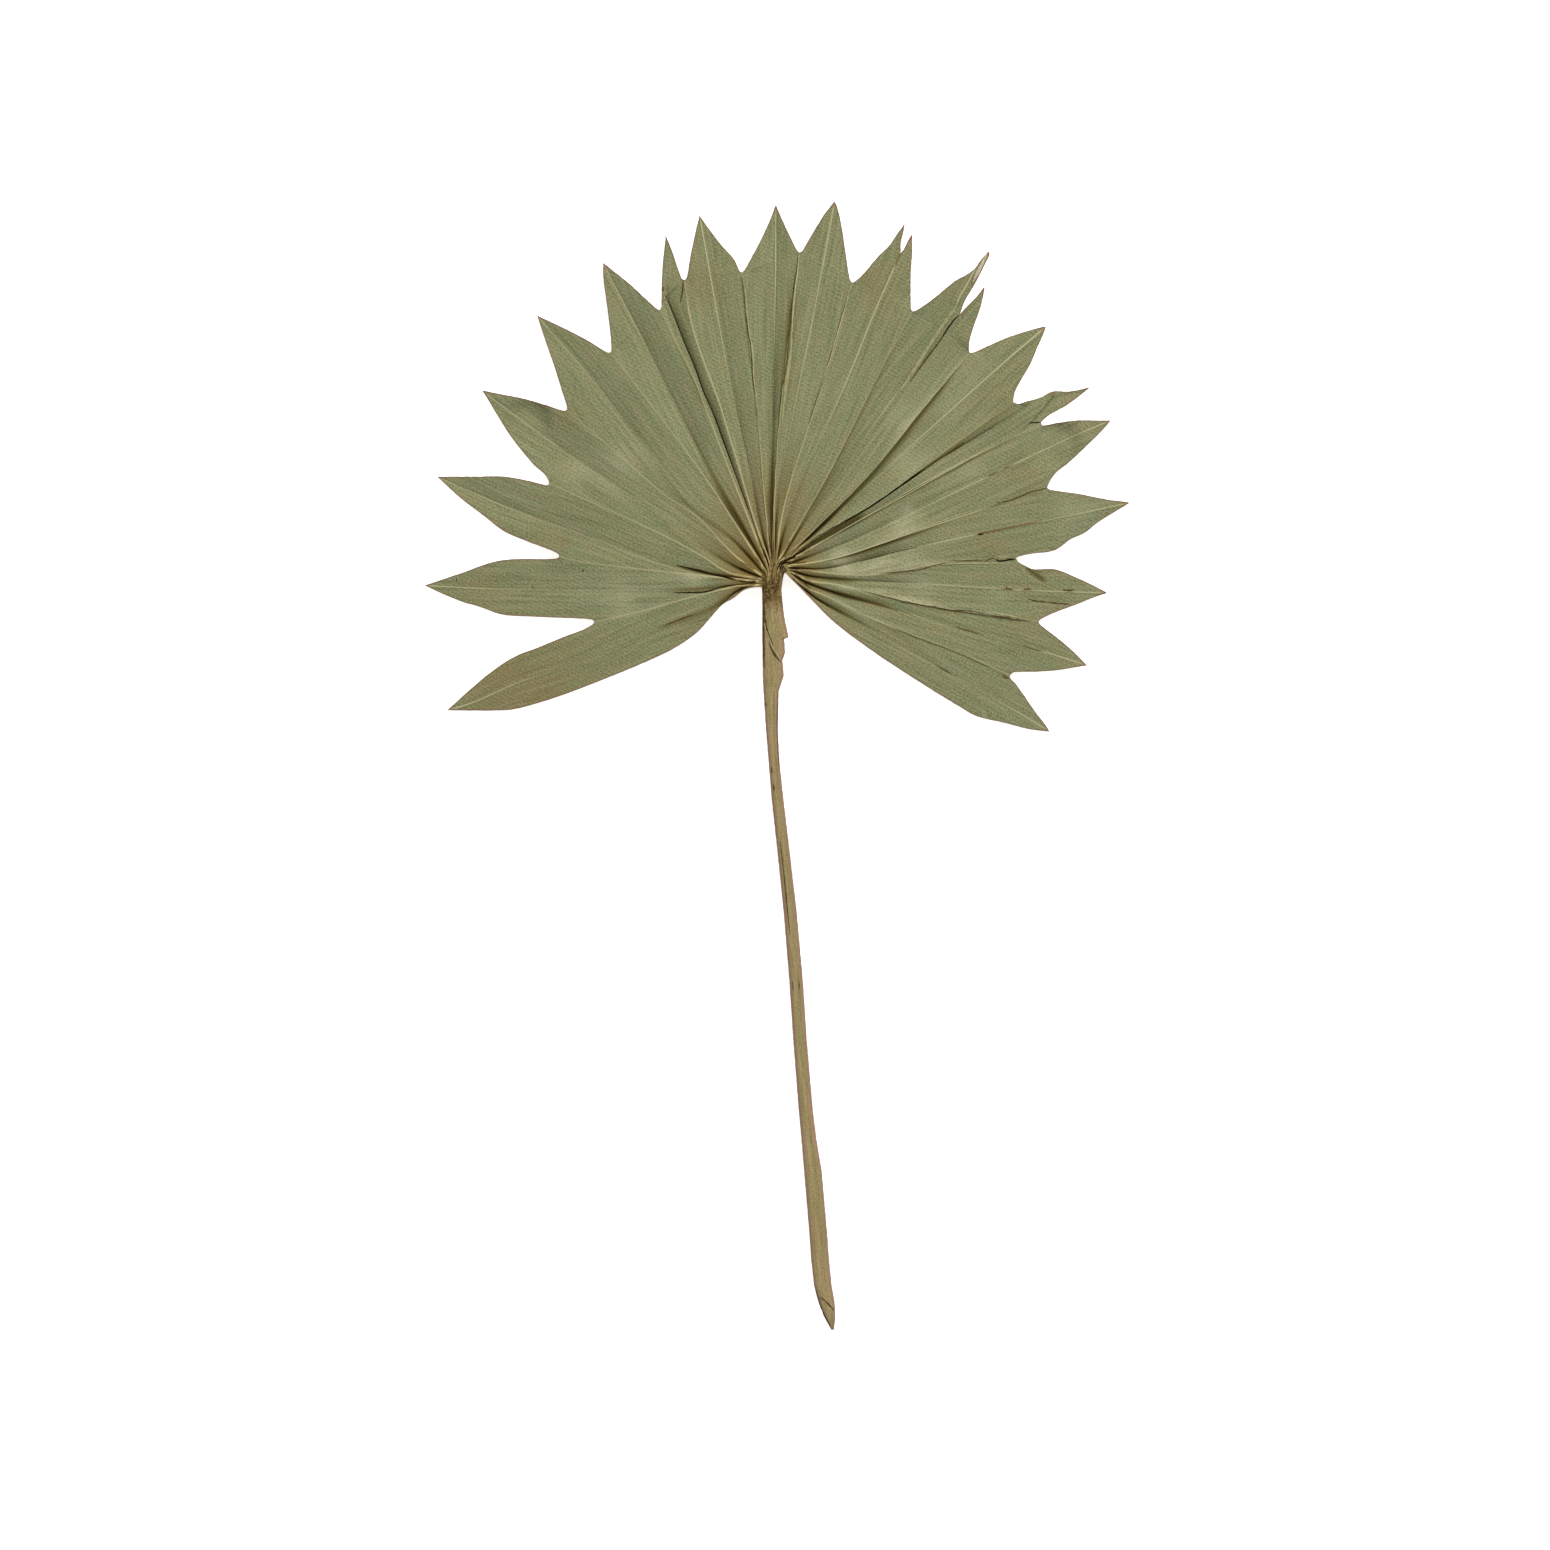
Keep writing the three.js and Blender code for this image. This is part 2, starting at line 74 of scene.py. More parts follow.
segments = [
    dict(left=[(-9, 71), (-13, 70), (-17, 67), (-22, 64), (-26.5, 59), (-32, 53), (-39, 48), (-46.5, 44),
               (-71.5, 33.5), (-90.5, 26.5), (-105, 22.5), (-111, 22)],
         midrib=[(-13, 71), (-26, 63.5), (-45, 56), (-85.5, 39), (-102.5, 33.5), (-122, 25)],
         right=[(-77, 54.5), (-85, 51.5), (-96, 47), (-105, 43.5), (-113.5, 38), (-122, 31)],
         tip=(-132, 22), lift=1.2, suture=[(-15.5, 71.5), (-35, 67), (-54.5, 61.5)], notch=(-73, 57.5),
         crack=[(33, 0), (36, 0.3), (46, 0.3), (50, 0)]),
    dict(left=[(-75.5, 58.5), (-87, 59), (-98, 59.5), (-107.5, 60), (-112.5, 61), (-119, 63.5),
               (-126, 65.5), (-134.5, 69)],
         midrib=[(-19.5, 71.5), (-48, 70), (-109, 70.5)],
         right=[(-110.5, 82), (-127.5, 76.5)],
         tip=(-141, 72), lift=0.4, suture=[(-32, 76), (-50.5, 78), (-78.5, 81.5)], notch=(-87, 83.5),
         crack=[(24, 0), (27, 0.4), (38, 0.4), (42, 0)]),
    dict(left=[(-101, 90), (-109, 93.5), (-117.5, 100), (-126, 106.5)],
         midrib=[(-31, 77), (-50.5, 82), (-71, 90), (-106, 102.5)],
         right=[(-98, 113.5), (-109, 115.5), (-120.5, 115.5)],
         tip=(-136, 115.5), lift=1.4, suture=[(-20, 77.3), (-29, 83), (-41.5, 90), (-67, 102)],
         notch=(-91, 112.5), crack=[(0, 0.5), (32, 0.4), (38, 0)]),
    dict(left=[(-92.5, 116), (-97, 120), (-100.5, 124), (-106, 131), (-111.5, 139.5), (-116, 147)],
         midrib=[(-17, 79.5), (-29.5, 87.5), (-42, 96.5), (-71, 116), (-106, 141)],
         right=[(-92, 144), (-100.5, 146.5), (-113, 149)],
         tip=(-118, 150), lift=0, suture=[(-17, 84), (-32, 99.5), (-44.5, 108), (-67, 127.5)],
         notch=(-84, 142)),
    dict(left=[(-86.5, 151.5), (-89.5, 161), (-93, 171)],
         midrib=[(-16, 88.5), (-24, 95.5), (-34.5, 104), (-55.5, 131), (-76, 157)],
         right=[(-75, 169.5), (-83.5, 174)],
         tip=(-96, 180), lift=1, suture=[(-11.5, 88.5), (-27, 112.5), (-41.5, 132.5)], notch=(-66.5, 165)),
    dict(left=[(-66.5, 172), (-68, 184), (-69.5, 195.5)],
         midrib=[(-13, 94), (-27, 118.5), (-39.5, 142.5), (-53.5, 170)],
         right=[(-53, 187), (-59.5, 193), (-64.5, 197)],
         tip=(-69.5, 201), lift=2,
         suture=[(-9.9, 94.8), (-17.3, 113.5), (-28, 141), (-32, 151.5), (-36.6, 161.5), (-41.4, 171)],
         notch=(-46.5, 182)),
]
print(len(segments), "segments on the left")

# %% Segments of the top
segments += [
    dict(left=[(-46, 185.5), (-46, 193), (-45.5, 202)],
         midrib=[(-9, 95.3), (-15.8, 113.9), (-25.9, 141.4), (-29.2, 148.6), (-33.2, 159.8), (-36.8, 168.2),
                 (-40.4, 177.4), (-43.4, 185.4), (-44.3, 192)],
         right=[(-40, 200), (-42, 206)],
         tip=(-44.5, 212), lift=0.6, suture=[(-8.2, 95.5), (-14.2, 115.5), (-22.5, 143), (-34, 176)],
         notch=(-37, 194), rib=[(0, 0)],
         ridge=[(0, 0.8), (60, 0.8), (112, 0.9), (118, 0.3)]),
    dict(left=[(-34.5, 204), (-32.5, 213.5)],
         midrib=[(-6.5, 95.5), (-11.5, 121), (-21, 165), (-27, 198)],
         right=[(-17, 202), (-23, 209), (-29, 217)],
         tip=(-31, 220), lift=1.6, suture=[(-4.5, 100.5), (-8, 141.5), (-11.5, 172.5)], notch=(-14, 197),
         rib=LONG_RIB),
    dict(left=[(-10.5, 202.5), (-7, 209), (-3.5, 216.5)],
         midrib=[(-2, 113.5), (-1, 169), (-0.5, 204.5)],
         right=[(5, 212), (2, 218.5)],
         tip=(-0.5, 224), lift=0.8, suture=[(-1, 108), (1.5, 142.5), (6, 182)], notch=(9, 205),
         rib=[(0, 0), (44, 0.3), (70, 0.8), (150, 1)]),
    dict(left=[(12, 209), (15, 214), (19, 220.5)],
         midrib=[(0, 103), (6.5, 140.5), (15, 182), (20.5, 212)],
         right=[(27.5, 204.5), (26, 214.5), (24, 223.5)],
         tip=(23, 225.5), lift=1.2, suture=[(2.5, 102), (11.5, 132), (22, 162.5)], notch=(30, 193),
         rib=[(0, 0), (50, 0.1), (85, 0.5), (150, 0.7)],
         ridge=[(0, 0.9), (25, 0.7), (60, 0.4), (95, 0.3), (120, 0.3)]),
    dict(left=[(35, 197), (40, 203), (45, 208), (48, 212.5)],
         midrib=[(3.5, 95.5), (11, 115.5), (28, 154), (40, 183.5)],
         right=[(53.5, 187), (53.5, 197), (54, 204), (54, 210)],
         tip=(51, 216.5), lift=1.8,
         slit=dict(bottom=(49.5, 205), at=0.58, left=[(49.5, 209), (50.5, 213)],
                   right=[(50.5, 206), (52.5, 210)], tip=(54, 212)),
         suture=[(9, 96.5), (21, 117.5), (42, 159)], notch=(54, 181.5),
         rib=LONG_RIB, crack=[(132, 0), (135, 0.8), (145, 0.9)]),
    dict(left=[(60.5, 185), (65.5, 189), (71, 193.5), (75.5, 196), (79, 198.5), (81, 201.5)],
         midrib=[(9, 94), (22, 112), (47, 147.5)],
         right=[(77, 170), (79, 176.5), (81, 182), (82.5, 188)],
         tip=(84.5, 205.5), lift=4,
         slit=dict(bottom=(73, 180), at=0.26, left=[(75, 185.5), (78, 190.5), (80.5, 195), (83, 200),
                                                    (85, 204.5)],
                   right=[(76, 183.5), (79.5, 187), (82, 190)], tip=(83, 191)),
         suture=[(13.5, 93), (37, 116.5), (59.5, 144)], notch=(77, 165),
         rib=[(0, 0), (50, 0.1), (84, 0.7), (92, 0), (122, 0), (128, 1)],
         rib_aside=[(88, 0), (100, -1.9), (128, -2.6), (150, -2.6)]),
]
print(len(segments), "segments so far")

# %% Segments of the right side, down to the lower right lobe
segments += [
    dict(left=[(84, 167.5), (92, 171), (99.5, 173.5), (105, 175)],
         midrib=[(13.5, 91.5), (31.5, 108), (61, 134.5), (89.5, 160)],
         right=[(95.2, 149.6), (97.8, 154.5), (101.3, 160.5), (104, 167), (106.5, 172.5)],
         tip=(107.5, 175.5), lift=0.6, suture=[(13.5, 90), (39, 105), (70.5, 128)], notch=(94.5, 145),
         rib=LONG_RIB, ridge=[(0, 0.8), (25, 0.3), (72, 0.3), (120, 0.2)]),
    dict(left=[(96.5, 144.5), (99.5, 145.5), (105, 147), (110, 149.5), (117, 149.5)],
         midrib=[(19, 92), (49, 110), (76.5, 129), (100, 143), (112, 147.5)],
         right=[(109.5, 140.5), (115, 143.5), (120, 147)],
         tip=(125, 151), lift=1, suture=[(19, 90), (54.5, 110.5), (87, 127.5)], notch=(105.5, 136.5),
         rib=[(0, 0)]),
    dict(left=[(112, 137), (120, 138), (127.5, 138)],
         midrib=[(24, 87.5), (61, 104.5), (94, 120), (117, 131)],
         right=[(111, 116.5), (116.5, 121), (125, 129), (131, 135)],
         tip=(133.5, 138), lift=0, suture=[(24, 83), (44, 89.5), (72, 99), (93.5, 106)], notch=(108, 111),
         rib=[(0, 0), (60, 0.2), (80, 0.7), (150, 0.7)],
         crack=[(93, 0), (96, 0.5), (106, 0.5), (108, 0), (113, 0), (115, 0.4), (117, 0)],
         ridge=[(0, 0.9), (60, 0.9), (88, 0.7), (93, -0.3), (120, -0.3)]),
    dict(left=[(121, 108.5), (131, 106.5), (138.5, 105.5)],
         midrib=[(19, 78.5), (44, 84.5), (80.5, 92.5), (115, 99.5)],
         right=[(101, 84.5), (111, 86), (117.5, 90.5), (123, 93), (128, 97), (136, 102)],
         tip=(141, 105), lift=1.6, suture=[(37, 76), (64.5, 80.5), (85, 83)], notch=(95.5, 82.5),
         rib=[(0, 0), (60, 0.3), (72, 0.8), (80, 0.5), (120, 0.4), (150, 0.9)],
         crack=[(83, 0), (85, 0.9), (106, 0.7), (111, 0)],
         ridge=[(0, 0.8), (40, 0.6), (60, 1), (80, 0.7), (84, 0), (110, 0)]),
    dict(left=[(100, 79.5), (102.5, 78.5), (111, 78.5), (120, 75), (125.5, 72.5)],
         midrib=[(13, 75.6), (61, 72.5), (100.5, 70)],
         right=[(109.5, 60.5), (120, 64.5), (127.5, 67.5)],
         tip=(132, 69), lift=0.8, suture=[(13, 73.8), (25, 72), (57.5, 64.5), (86, 60)],
         notch=(104.5, 57.5), rib=[(0, 0), (55, 0.2), (65, 0.6), (140, 0.7)],
         crack=[(91, 0), (93, 0.8), (96, 0.8), (98, 0), (100, 0), (102, 0.7), (105, 0.2), (108, 0),
                (117, 0), (119, 0.7), (122, 0)]),
    dict(left=[(111.5, 51.5), (118, 46)],
         midrib=[(13.5, 72.3), (47.5, 62), (83, 52), (105, 46)],
         right=[(94, 37), (103.5, 37.5), (111.5, 38)],
         tip=(124, 40), lift=1.8, suture=[(12, 71), (20, 67.5), (37, 59), (73, 45)], notch=(93, 36),
         crack=[(40, 0), (42, 0.6), (51, 0.6), (54, 0), (75, 0), (77, 0.5), (86, 0.5), (89, 0), (97, 0),
                (99, 0.5), (111, 0.5), (114, 0)]),
    dict(left=[(95.5, 32.5), (100.5, 25.5), (104, 20.5), (107.5, 16)],
         midrib=[(15, 67), (37, 54.5), (70.5, 36), (98.5, 20)],
         right=[(11.5, 68.5), (22.5, 57.5), (37, 46.5), (57.5, 33), (73, 23.5), (79, 20), (91, 17),
                (101, 14.5)],
         tip=(109, 13.5), lift=0.8, crack=[(73, 0), (76, 0.6), (81, 0.6), (84, 0)]),
]
print(len(segments), "segments in all")

# %% [markdown]
# ## Smooth lines through a few points
#
# A vein or an edge has no corners, so each line is a Catmull-Rom curve through its points, with the spacing
# that keeps it from looping where points lie close. Reading it at fractions of its length gives rows of
# points that match from line to line, and that is what a grid of faces needs.

# %% A curve through points, read at fractions of its length
CURVE_STEPS = 14  # from one given point to the next
SMALLEST_GAP = 1e-3  # so that two points at one place don't divide by 0


def smooth_path(points):
    """Many points on a smooth curve through a few."""
    p = np.array(points, float)
    p = np.vstack([2 * p[0] - p[1], p, 2 * p[-1] - p[-2]])
    gap = np.maximum(np.linalg.norm(np.diff(p, axis=0), axis=1) ** 0.5, SMALLEST_GAP)
    t = np.linspace(0, 1, CURVE_STEPS, endpoint=False)[:, None]
    path = []
    for k in range(1, len(p) - 2):
        a, b, c = gap[k - 1:k + 2]
        step = (p[k + 1] - p[k]) / b
        leave = ((p[k] - p[k - 1]) / a - (p[k + 1] - p[k - 1]) / (a + b) + step) * b
        arrive = (step - (p[k + 2] - p[k]) / (b + c) + (p[k + 2] - p[k + 1]) / c) * b
        path.append((2 * t**3 - 3 * t**2 + 1) * p[k] + (t**3 - 2 * t**2 + t) * leave
                    + (3 * t**2 - 2 * t**3) * p[k + 1] + (t**3 - t**2) * arrive)
    return np.vstack([*path, p[-2:-1]])


def run_of(points, fractions):
    """Points at the given fractions of a smooth curve's length."""
    path = smooth_path(points)
    length = np.concatenate([[0], np.cumsum(np.linalg.norm(np.diff(path, axis=0), axis=1))])
    at = np.asarray(fractions) * length[-1]
    return np.column_stack([np.interp(at, length, path[:, axis]) for axis in range(path.shape[1])])


def smooth(v):
    """From 0 to 1 with soft ends."""
    t = np.clip(v, 0, 1)
    return t * t * (3 - 2 * t)


def distance(points, place):
    """How far points are from a place, seen from above."""
    points = np.asarray(points, float)
    return np.hypot(points[..., 0] - place[0], points[..., 1] - place[1])


def hub_distance(points):
    """How far points are from the hub."""
    return distance(points, HUB)


def left_of(line):
    """For each point of a line, the direction square to it, to its left."""
    along = np.gradient(line, axis=0)
    return np.column_stack([-along[:, 1], along[:, 0]]) / np.linalg.norm(along, axis=1)[:, None]


def rough(x, y, seed):
    """A soft uneven pattern from -1 to 1, always the same at the same place."""
    return noise.noise(Vector((x, y, seed)))


print("reach of the tips, mm:", [round(float(hub_distance(s["tip"]))) for s in segments])

# %% [markdown]
# ## Rows and lines of the pleats
#
# Every line gets the same rows: the inner ones from the hub to the notches, closer together near the hub
# where the pleats are narrow, and the outer ones from the notches to the tips. Two segments are slit at the
# tip, so their middle line parts in two there.

# %% Where each line runs
HUB_RADIUS = 4.7
LAST_LINE = 2 * len(segments)  # lines are counted from 0: edge, midrib, suture, midrib and so on to an edge
HUB_ARC = [  # where lines begin round the stalk's head: number of the line and its place
    (0, (-5.6, 71)), (4, (-5.6, 73.2)), (8, (-5, 75)), (11, (-4, 77.8)), (14, (-2.8, 79.9)),
    (18, (-1.5, 80.9)), (22, (0.1, 81)), (27, (2.1, 80.4)), (31, (3.5, 79)), (34, (3.9, 78.1)),
    (38, (3.2, 76.9)),
]
INNER_ROWS, INNER_CROWDING = 66, 1.35  # from the hub to the notches
OUTER_ROWS, OUTER_CROWDING = 36, 1.4  # from the notches to the tips
inner_rows = np.linspace(0, 1, INNER_ROWS) ** INNER_CROWDING
outer_rows = np.linspace(0, 1, OUTER_ROWS + 1)[1:] ** OUTER_CROWDING
ROW_TOLERANCE = 1e-9  # for a row that lies right at the bottom of a slit
NOTCH_WIDTH = 1.5
NOTCH_SIDE, NOTCH_DEPTH = 0.5, 0.3  # shares of that width, from its bottom to its corner
NOTCH_DIRECTION_ROWS = 4  # the last rows of a suture, which say which way its notch opens
EDGE_RAGGEDNESS = 0.11
EDGE_RAG_LENGTH = 1.6
EDGE_RAG_FADE = 4  # rows at each end


def hub_start(line):
    """Where a line starts round the stalk's head."""
    numbers, places = zip(*HUB_ARC)
    return tuple(float(np.interp(line, numbers, [p[axis] for p in places])) for axis in (0, 1))


def ragged(edge, seed):
    """A free edge with the small dents and fibres of a dry leaf's margin."""
    push = [rough(x / EDGE_RAG_LENGTH, y / EDGE_RAG_LENGTH, seed) for x, y in edge]
    fade = np.minimum(np.arange(len(edge)), np.arange(len(edge))[::-1]) / EDGE_RAG_FADE
    return edge + left_of(edge) * (EDGE_RAGGEDNESS * np.array(push) * np.clip(fade, 0, 1))[:, None]


def notch_edge(suture, edge, tip, seed):
    """A segment's own edge, from the rounded bottom of its notch to its tip."""
    bottom = suture[-1]
    outward = bottom - suture[-1 - NOTCH_DIRECTION_ROWS]
    outward = outward / np.linalg.norm(outward)
    side = np.array([-outward[1], outward[0]])
    side = side * math.copysign(1, side @ (np.array(edge[0]) - bottom))
    corner = bottom + NOTCH_WIDTH * (NOTCH_SIDE * side + NOTCH_DEPTH * outward)
    return ragged(run_of([bottom, corner, *edge, tip], outer_rows), seed)


def free_edge(line, edge, tip):
    """An edge of the whole fan, from the hub to the tip."""
    share = len(inner_rows) / (len(inner_rows) + len(outer_rows))
    rows = np.concatenate([inner_rows * share, share + outer_rows * (1 - share)])
    return ragged(run_of([hub_start(line), *edge, tip], rows), line)


print("the right edge starts at", [round(v, 1) for v in hub_start(LAST_LINE)])

# %% The lines of all segments
def notches_beside(i):
    """The bottoms of the notches on both sides of a segment. The outer segments have only one."""
    return [s["notch"] for s in segments[max(i - 1, 0):i + 1] if "notch" in s]


def closed_rows(split):
    """How many of the outer rows lie before the bottom of a slit."""
    return int(np.sum(outer_rows <= split + ROW_TOLERANCE))


def middle_lines(i, segment):
    """The midrib as two runs, one for each half. They differ only past the bottom of a slit."""
    slit = segment.get("slit")
    end = slit["bottom"] if slit else segment["tip"]
    share = (np.mean(hub_distance(notches_beside(i))) - HUB_RADIUS) / (hub_distance(end) - HUB_RADIUS)
    split = slit["at"] if slit else 1
    closed = outer_rows[:closed_rows(split)]
    rows = np.concatenate([inner_rows * share, share + closed / split * (1 - share)])
    run = run_of([hub_start(2 * i + 1), *segment["midrib"], end], rows)
    if not slit:
        return run, run
    open_rows = (outer_rows[len(closed):] - split) / (1 - split)
    sides = [run_of([end, *slit[side], tip], open_rows)
             for side, tip in (("left", segment["tip"]), ("right", slit["tip"]))]
    return np.vstack([run, sides[0]]), np.vstack([run, sides[1]])


sutures = [run_of([hub_start(2 * i + 2), *s["suture"], s["notch"]], inner_rows)
           for i, s in enumerate(segments[:-1])]
for i, s in enumerate(segments):
    right_tip = s["slit"]["tip"] if "slit" in s else s["tip"]
    s["mid_left"], s["mid_right"] = middle_lines(i, s)
    if i == 0:
        s["left_line"] = free_edge(0, s["left"], s["tip"])
    else:
        own = notch_edge(sutures[i - 1], s["left"], s["tip"], i)
        s["left_line"] = np.vstack([sutures[i - 1], own])
    if i == len(segments) - 1:
        s["right_line"] = free_edge(2 * i + 2, s["right"], s["tip"])
    else:
        s["right_line"] = np.vstack([sutures[i], notch_edge(sutures[i], s["right"], right_tip, i)])
print("rows along each line:", len(inner_rows) + len(outer_rows))

# %% [markdown]
# ## Height of the folds
#
# The sutures are ridges and the midribs are valleys. A real pleat isn't a straight zigzag: it bends most in
# the valley, or just off the crest where it leans over its neighbour. The fan droops from the hub to its
# tips and its folds flatten out on the way, each segment by its own amount, since the leaf was pressed as it
# dried. The depth is also held back where a pleat is narrow.

# %% Levels, depths and the shape of a flank
HUB_HEIGHT = 9.5
DROOP = 7.8  # how much lower the tips lie
PLEAT_DEPTH = 2.4  # of a full fold, above and below its middle
PLEAT_GROWTH = 16  # mm over which a fold reaches most of that depth
PLEATS_MEET = 1  # mm from the hub, where the folds would have no height
TIP_FLATTENING = 5  # the higher it is, the nearer the tip a fold flattens out
STEEPEST_FLANK = 1.5  # height to width
OUTER_EDGE_FOLD = 0.55  # share of the fold that a segment's own edge keeps past the notch
TIP_LIFT_START = 0.55  # share of the way to the tip
CREST_BEND, VALLEY_BEND = -0.85, 2  # how much steeper a flank is there than halfway
CREST_RADIUS = 1.2
VALLEY_SHARE = 0.25  # of the flank's width
LEANING = {(12, "left"): 2, (13, "left"): 2.4}  # halves that bend just off the crest, and how much
columns = np.array([0, 0.03, 0.085, 0.18, 0.33, 0.52, 0.71, 0.87, 0.965, 1])  # from ridge to midrib

FOLDS = {  # how much of the full depth each segment keeps, as pairs of distance from the hub and share
    1: [(0, 0.7), (18, 0.3), (30, -0.15), (45, -0.05), (60, 0), (150, 0)],
    2: [(0, 0.8), (18, 0.5), (30, 0), (45, 0), (60, 0.1), (100, 0.1), (130, 0.35)],
    3: [(0, 0.9), (20, 0.8), (30, 0.6), (45, 0.25), (80, 0.35), (130, 0.8)],
    4: [(0, 0.9), (18, 0.4), (30, 0.1), (60, 0), (80, 0.35), (100, 0.7), (120, 0.6), (150, 0.9)],
    5: [(0, 0.8), (20, 0.3), (30, -0.2), (45, -0.3), (60, -0.15), (80, 0.4), (110, 0.6), (130, 0.9)],
    6: [(0, 0.9), (20, 0.5), (30, 0.2), (45, 0.15), (60, 0.7), (100, 0.85), (130, 1)],
    7: [(0, 0.8), (25, 0.7), (40, 0.8), (60, 1), (110, 1.1), (121, 0.5), (126, 0.1), (150, 0)],
    8: [(0, 0.8), (30, 0.5), (45, 0.4), (60, 0.4), (100, 0.45), (150, 0.4)],
    9: [(0, 0.9), (30, 0.9), (50, 1), (80, 0.9), (110, 0.9), (150, 0.8)],
    10: [(0, 0.9), (30, 0.5), (45, 0.3), (60, 0), (80, -0.25), (150, -0.25)],
    11: [(0, 0.8), (25, 0.3), (60, 0.15), (150, 0.15)],
    12: [(0, 1), (60, 0.9), (80, 0.7), (150, 0.5)],
    13: [(0, 1), (45, 0.8), (60, 0.45), (85, 0.3), (105, -0.3), (150, -0.3)],
    14: [(0, 1), (70, 1), (90, 0.6), (110, 0.35), (150, 0.3)],
    15: [(0, 0.8), (30, 0.45), (60, 0.4), (80, 0.1), (100, -0.2), (150, 0.1)],
    16: [(0, 0.8), (20, 0.6), (30, 0.4), (45, 0.6), (60, 0.3), (80, -0.1), (150, -0.1)],
    17: [(0, 0.8), (20, 0.5), (30, 0.3), (45, 0.2), (60, 0.05), (150, 0.05)],
    18: [(0, 0.7), (20, 0.4), (30, 0.1), (45, 0.2), (60, 0.15), (78, 0.1), (150, 0.05)],
    19: [(0, 0.7), (20, 0.4), (30, 0.25), (45, 0.15), (60, 0.1), (80, 0), (150, 0)],
}


def width_between(one, other):
    """Distance between two lines, square to the way they run."""
    middle = (one + other) / 2
    along = np.gradient(middle, axis=0)
    across = other - one
    return np.abs(across[:, 0] * along[:, 1] - across[:, 1] * along[:, 0]) / np.linalg.norm(along, axis=1)


print("segments with a folding of their own:", len(FOLDS))

# %% Heights along a line and across a flank
def way_out(line, reach):
    """How far along its way from the stalk's head to the tip each point of a line is, from 0 to 1."""
    return np.clip((hub_distance(line) - HUB_RADIUS) / (reach - HUB_RADIUS), 0, 1)


def level_of(line, reach, lift):
    """Height of the middle of the folds along a line."""
    u = way_out(line, reach)
    return HUB_HEIGHT - DROOP * u + lift * smooth((u - TIP_LIFT_START) / (1 - TIP_LIFT_START))


def depth_of(line, reach, numbers, *widths):
    """Half the height of the folds along a line, which belongs to the numbered segments."""
    from_hub = hub_distance(line)
    flatter = 1 - way_out(line, reach) ** TIP_FLATTENING
    depth = PLEAT_DEPTH * (1 - np.exp((PLEATS_MEET - from_hub) / PLEAT_GROWTH)) * flatter
    depth = np.minimum.reduce([depth, *[STEEPEST_FLANK * w / 2 for w in widths]])
    return depth * np.mean([np.interp(from_hub, *zip(*FOLDS[n])) for n in numbers], axis=0)


def flank_fall(width, crest_bend, valley_bend):
    """Share of the fold's height lost at each column, from the crest to the valley, for each row."""
    near, far = columns[:-1], columns[1:]
    middle = (near + far) / 2
    steep = 1 + crest_bend * np.exp(-middle * width[:, None] / CREST_RADIUS)
    steep = (steep + valley_bend * np.exp(-(1 - middle) / VALLEY_SHARE)) * (far - near)
    fall = np.cumsum(steep, axis=1)
    return np.hstack([np.zeros((len(width), 1)), fall / fall[:, -1:]])


for i, s in enumerate(segments):
    s["reach"] = float(hub_distance(s["tip"]))
    s["widths"] = (width_between(s["left_line"], s["mid_left"]),
                   width_between(s["mid_right"], s["right_line"]))
    s["mid_level"] = level_of(s["mid_left"], s["reach"], s["lift"])
    s["mid_depth"] = depth_of(s["mid_left"], s["reach"], [i + 1], *s["widths"])
widest = max(float(s["widths"][0].max()) for s in segments)
print("widest half segment:", round(widest, 1), "mm")

# %% [markdown]
# ## Where the leaf has parted
#
# Drying has pulled some neighbours apart along their suture: one edge curls up over the other and leaves a
# thin shadow. The same is true of segment 14, whose right half has lifted off its midrib. Modelling a real
# overlap gives the shadow its true ragged width, which a painted line wouldn't have from the side.
#
# Each parting has the suture's number, which side lies over, where it begins and ends as distances from the
# hub, how far it overlaps and how far it rises.

# %% Partings of the sutures
PARTINGS = {
    8: dict(over="right", begin=14, end=121, overlap=0.2, rise=0.35),
    9: dict(over="right", begin=12, end=129, overlap=0.3, rise=0.6),
    11: dict(over="left", begin=14, end=100, overlap=0.3, rise=0.3),
    12: dict(over="left", begin=12, end=116, overlap=0.3, rise=0.35),
    13: dict(over="left", begin=18, end=76, overlap=0.3, rise=0.7),
    16: dict(over="right", begin=38, end=97, overlap=0.5, rise=0.35),
    17: dict(over="left", begin=34, end=106, overlap=0.3, rise=0.5),
    18: dict(over="left", begin=50, end=96, overlap=0.3, rise=0.35),
}
OPENING_LENGTH, CLOSING_LENGTH = 9, 4  # mm over which a parting grows and ends
EVEN_OVERLAP, UNEVEN_OVERLAP = 0.55, 0.9  # shares of the overlap
EVEN_RISE, UNEVEN_RISE = 0.8, 0.6  # shares of the rise
PARTING_RAG_LENGTH, PARTING_RAG_SEED = 3.2, 7.3
UNDER_DROP = 0.7  # how far the lower edge sinks, as a share of the rise


